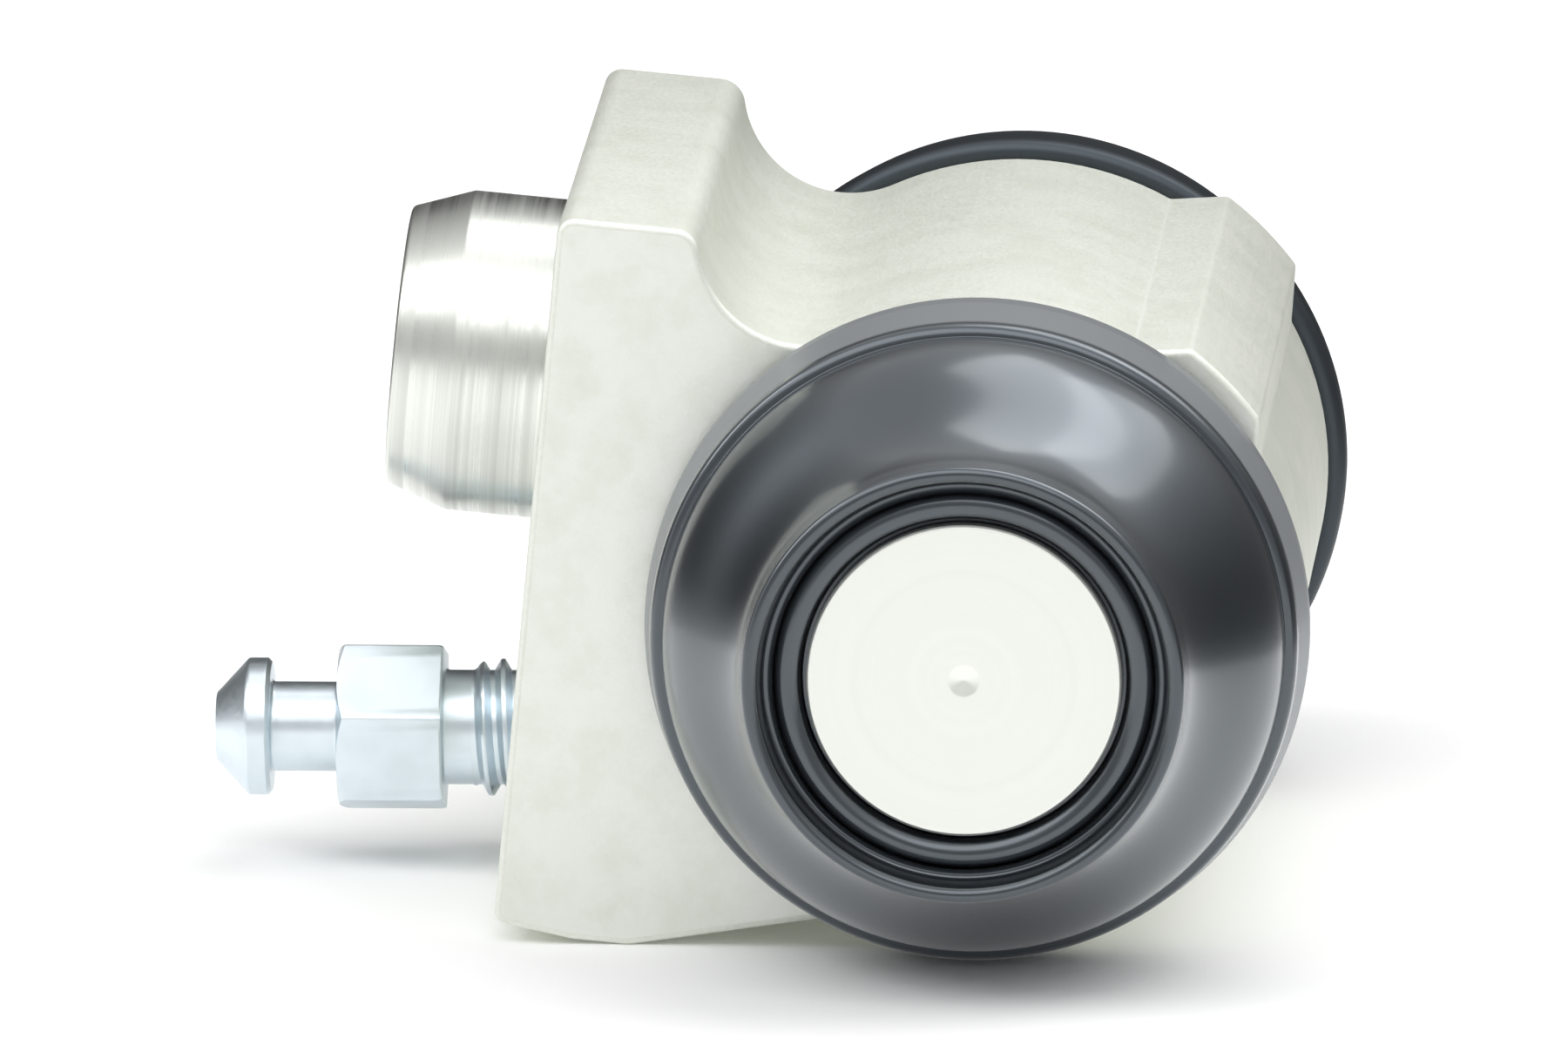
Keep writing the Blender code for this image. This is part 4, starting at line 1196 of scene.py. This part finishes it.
class WHEEL_OT_pistons(Operator):
    """Make the two turned pistons"""

    bl_idname = "wheel_cylinder.pistons"
    bl_label = "Pistons"

    def execute(self, context):
        """Make the pieces."""
        scene = context.scene
        lathe = turned_aluminium(
            "turned_piston", scene.wheel_colours, CENTRE, (0, 1, 0), 0.8, 0.03, 0.4
        )
        for end, side in ENDS:
            surfaces = [spin(piston_profile(scene.wheel_piston), around(128), bore_axis(side))]
            node, body = f"piston_{end}", f"{end}_piston"
            new_piece(f"{node}_turned", surfaces, [lathe], node, body)
        return {"FINISHED"}


class WHEEL_OT_seals(Operator):
    """Make the rubber cups and their pressed expanders"""

    bl_idname = "wheel_cylinder.seals"
    bl_label = "Cups and expanders"

    def execute(self, context):
        """Make the pieces."""
        scene = context.scene
        piston, seal = scene.wheel_piston, scene.wheel_seal
        rubber = seal_rubber(scene.wheel_colours)
        sheet = steel("cold_rolled_steel", scene.wheel_colours.pressed, 0.4, 0.8)
        kinds = (
            ("piston_cup", cup_profile(piston, seal), rubber, "seal_rubber"),
            ("cup_expander", expander_profile(piston, seal), sheet, "pressed_steel"),
        )
        for end, side in ENDS:
            for kind, profile, material, slot in kinds:
                surfaces = [spin(profile, around(96), bore_axis(side))]
                node = f"{kind}_{end}"
                new_piece(f"{node}_fine", surfaces, [material], node, f"{end}_piston")
        return {"FINISHED"}


class WHEEL_OT_spring(Operator):
    """Make the return spring as two halves"""

    bl_idname = "wheel_cylinder.spring"
    bl_label = "Return spring"

    def execute(self, context):
        """Make the pieces."""
        scene = context.scene
        wire = steel("drawn_spring_wire", scene.wheel_colours.wire, 0.38, 0.3)
        for end, side in ENDS:
            surfaces = [spring_surface(scene.wheel_piston, scene.wheel_seal, -side)]
            half = new_piece(f"spring_half_{end}", surfaces, [wire])
            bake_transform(half)
        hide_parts("return_spring")
        return {"FINISHED"}


class WHEEL_OT_boots(Operator):
    """Make the two moulded dust boots"""

    bl_idname = "wheel_cylinder.boots"
    bl_label = "Dust boots"

    def execute(self, context):
        """Make the pieces."""
        scene = context.scene
        body, piston, boot = scene.wheel_body, scene.wheel_piston, scene.wheel_boot
        rubber = boot_rubber(scene.wheel_colours, body.neck_end + boot.ring_lead - boot.ring_edge)
        profile = boot_profile(body, piston, boot, scene.wheel_seal.gap)
        for end, side in ENDS:
            node = f"dust_boot_{end}"
            surfaces = [spin(profile, around(160), bore_axis(side))]
            piece = new_piece(f"{node}_moulded", surfaces, [rubber], node)
            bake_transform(piece)
        return {"FINISHED"}


class WHEEL_OT_bleed_screw(Operator):
    """Make the zinc-plated bleed screw"""

    bl_idname = "wheel_cylinder.bleed_screw"
    bl_label = "Bleed screw"

    def execute(self, context):
        """Make the piece."""
        scene = context.scene
        surfaces = screw_surfaces(scene.wheel_screw, scene.wheel_seal.gap)
        plated = zinc_plate(scene.wheel_colours)
        node, slot = "bleed_screw", "zinc_plated_steel"
        new_piece("bleed_screw_plated", surfaces, [plated], node, "bleeder")
        return {"FINISHED"}


def studio_world(scene):
    """Give the world a white background and a softer light on the object."""
    scene.world = bpy.data.worlds.new("studio")
    tree = blank(scene.world)
    path = add(tree, "ShaderNodeLightPath")
    seen = path.outputs["Is Camera Ray"]
    for kind in ("Is Glossy Ray", "Is Transmission Ray"):
        seen = maths(tree, "MAXIMUM", seen, path.outputs[kind])
    strength = value_range(tree, seen, 0.55, 1.0)
    sky = add(tree, "ShaderNodeBackground", {"Color": (1, 1, 1, 1), "Strength": strength})
    add(tree, "ShaderNodeOutputWorld", {"Surface": sky.outputs["Background"]})


def lamp(name, place, width, height, power):
    """Add an area lamp that faces the middle of the bore."""
    data = bpy.data.lights.new(name, "AREA")
    data.shape = "RECTANGLE"
    data.size, data.size_y, data.energy = width, height, power
    made = put(name, data)
    made.location = place
    made.rotation_euler = (Vector(CENTRE) - Vector(place)).to_track_quat("-Z", "Y").to_euler()


def card(name, reach, azimuths, elevations, low, high, power):
    """Hang a curved screen that only reflections see, dark below and paler above.

    It is part of a sphere round the front boot: a point lies off its centre by reach *
    (sin a * cos e, -cos a * cos e, sin e), so azimuth 0 is the camera's side. Its
    light is low + (high - low) * the larger of h ** power and f ** 2, with h from 0 to 1
    over its height and f from 1 to 0 over the lowest fifth of the reach.
    """
    rows, columns = 9, 33
    centre = np.array([AXIS_X, -35 * MM, AXIS_Z])
    a = np.radians(np.linspace(*azimuths, columns))[None, :]
    e = np.radians(np.linspace(*elevations, rows))[:, None]
    ray = np.stack([np.sin(a) * np.cos(e), -np.cos(a) * np.cos(e), np.sin(e) + 0 * a], axis=-1)
    points = (centre + reach * ray).reshape(-1, 3)
    mesh = bpy.data.meshes.new(name)
    mesh.from_pydata(points.tolist(), [], grid_faces(rows, columns).tolist())
    material = bpy.data.materials.new(name)
    tree = blank(material)
    place = add(tree, "ShaderNodeTexCoord").outputs["Object"]
    height = add(tree, "ShaderNodeSeparateXYZ", {"Vector": place}).outputs["Z"]
    start, end = (AXIS_Z + reach * math.sin(math.radians(value)) for value in elevations)
    rise = value_range(tree, height, 0.0, 1.0, start, end)
    foot = value_range(tree, height, 1.0, 0.0, start, start + 0.2 * reach)
    both = maths(tree, "MAXIMUM", maths(tree, "POWER", rise, power), maths(tree, "POWER", foot, 2))
    glow = add(tree, "ShaderNodeEmission", {"Strength": value_range(tree, both, low, high)})
    add(tree, "ShaderNodeOutputMaterial", {"Surface": glow.outputs["Emission"]})
    mesh.materials.append(material)
    made = put(name, mesh)
    made.visible_camera = made.visible_diffuse = made.visible_shadow = False
    made.visible_transmission = made.visible_volume_scatter = False


def studio_camera(scene):
    """Look along the bore from 11 degrees above it, rolled by 5.3 degrees.

    The point on the bore's axis under the front boot's collar is kept at its place in
    the picture, 1800 x 1200 pixels with 50 000 pixels of focal length.
    """
    swung, raised, rolled = math.radians(-2.02), math.radians(10.96), math.radians(5.3)
    collar, distance, focal = 26.9 * MM, 2.5, 50000
    right_by, up_by = 1121.5 - 900, 600 - 722.3
    flat = math.cos(raised)
    out = Vector((-math.sin(swung) * flat, -math.cos(swung) * flat, math.sin(raised)))
    level = Vector((math.cos(swung), -math.sin(swung), 0))
    above = out.cross(level)
    right = level * math.cos(rolled) + above * math.sin(rolled)
    up = above * math.cos(rolled) - level * math.sin(rolled)
    depth = distance - collar * flat * math.cos(swung)
    place = Vector((AXIS_X, -collar, AXIS_Z)) + out * depth
    place -= right * (right_by / focal * depth) + up * (up_by / focal * depth)
    data = bpy.data.cameras.new("camera")
    data.lens, data.sensor_width = 1000, 36
    data.clip_start, data.clip_end = 0.1, 20
    scene.camera = put("camera", data)
    scene.camera.matrix_world = Matrix((
        (right.x, up.x, out.x, place.x), (right.y, up.y, out.y, place.y),
        (right.z, up.z, out.z, place.z), (0, 0, 0, 1),
    ))


def studio_floor(colours, collar):
    """Add the floor that the collars and the foot rest on, risen by 5.2 degrees with +X."""
    rise, half, gap = math.radians(5.2), 0.6, 0.1 * MM
    along = Vector((math.cos(rise), 0, math.sin(rise)))
    down = Vector((math.sin(rise), 0, -math.cos(rise)))
    under = Vector(CENTRE) + down * (collar + gap)
    sides = ((-1, -1), (1, -1), (1, 1), (-1, 1))
    points = [under + along * x * half + Vector((0, y * half, 0)) for x, y in sides]
    mesh = bpy.data.meshes.new("floor")
    mesh.from_pydata([tuple(p) for p in points], [], [(0, 1, 2, 3)])
    tints = {"Base Color": (*colours.floor, 1), "Emission Color": (1, 1, 1, 1)}
    material, tree, shader = finish("pale_floor", 0.0, 0.8, tints)[:3]
    # painted reflection: the floor glows by 0.1 in reflections only, so its shadowed parts look
    # paler where the boots mirror them
    mirrored = add(tree, "ShaderNodeLightPath").outputs["Is Glossy Ray"]
    tree.links.new(value_range(tree, mirrored, 0.0, 0.1), shader.inputs["Emission Strength"])
    mesh.materials.append(material)
    floor = put("floor", mesh)


class WHEEL_OT_stage(Operator):
    """Add the floor, the lamps, the world and the camera"""

    bl_idname = "wheel_cylinder.stage"
    bl_label = "Floor, lamps and camera"

    def execute(self, context):
        """Make the stage."""
        scene = context.scene
        scene.view_settings.view_transform = "Standard"
        studio_world(scene)
        studio_camera(scene)
        studio_floor(scene.wheel_colours, scene.wheel_boot.collar)
        lamp("front_softbox", (-0.22, -0.52, 0.75), 1.4, 0.6, 4.4)
        lamp("rear_softbox", (0.6, 0.25, 0.85), 0.6, 0.6, 2.4)
        lamp("top_softbox", (0.22, 0.22, 1.0), 0.8, 0.5, 3.2)
        lamp("left_strip", (-0.85, -0.05, 0.52), 0.2, 0.5, 1.6)
        card("front_screen", 1.2, (-80, 80), (-2, 28), 0.45, 0.6, 1)
        card("right_screen", 0.12, (75, 150), (-9, 44), 0.12, 1.0, 4)
        card("rear_screen", 0.13, (150, 212), (-9, 52), 0.04, 1.0, 5)
        card("left_screen", 0.12, (212, 256), (-10, 46), 0.08, 0.8, 4)
        return {"FINISHED"}


class WHEEL_PT_panel(Panel):
    """List the makers of the wheel cylinder's pieces in the sidebar"""

    bl_idname = "WHEEL_PT_panel"
    bl_label = "Wheel cylinder"
    bl_space_type = "VIEW_3D"
    bl_region_type = "UI"
    bl_category = "Wheel cylinder"

    def draw(self, context):
        """Show a button for each operator and the sizes and colours below."""
        for operator in OPERATORS:
            self.layout.operator(operator.bl_idname)
        for name, group in GROUPS:
            box = self.layout.box()
            box.label(text=group.__doc__)
            for key in group.__annotations__:
                box.prop(getattr(context.scene, name), key)


GROUPS = (
    ("wheel_body", BodySizes),
    ("wheel_block", BlockSizes),
    ("wheel_port", PortSizes),
    ("wheel_piston", PistonSizes),
    ("wheel_seal", SealSizes),
    ("wheel_boot", BootSizes),
    ("wheel_screw", ScrewSizes),
    ("wheel_colours", Colours),
)
OPERATORS = (
    WHEEL_OT_body,
    WHEEL_OT_pistons,
    WHEEL_OT_seals,
    WHEEL_OT_spring,
    WHEEL_OT_boots,
    WHEEL_OT_bleed_screw,
    WHEEL_OT_stage,
)


def register():
    """Register the classes and keep the sizes and colours on the scene."""
    for name, group in GROUPS:
        bpy.utils.register_class(group)
        setattr(bpy.types.Scene, name, PointerProperty(type=group))
    for made in (*OPERATORS, WHEEL_PT_panel):
        bpy.utils.register_class(made)


def unregister():
    """Take the classes, the sizes and the colours away again."""
    for made in (WHEEL_PT_panel, *reversed(OPERATORS)):
        bpy.utils.unregister_class(made)
    for name, group in reversed(GROUPS):
        delattr(bpy.types.Scene, name)
        bpy.utils.unregister_class(group)


def main():
    """Make every piece and the stage."""
    register()
    for operator in OPERATORS:
        family, name = operator.bl_idname.split(".")
        getattr(getattr(bpy.ops, family), name)()


if __name__ == "__main__":
    main()
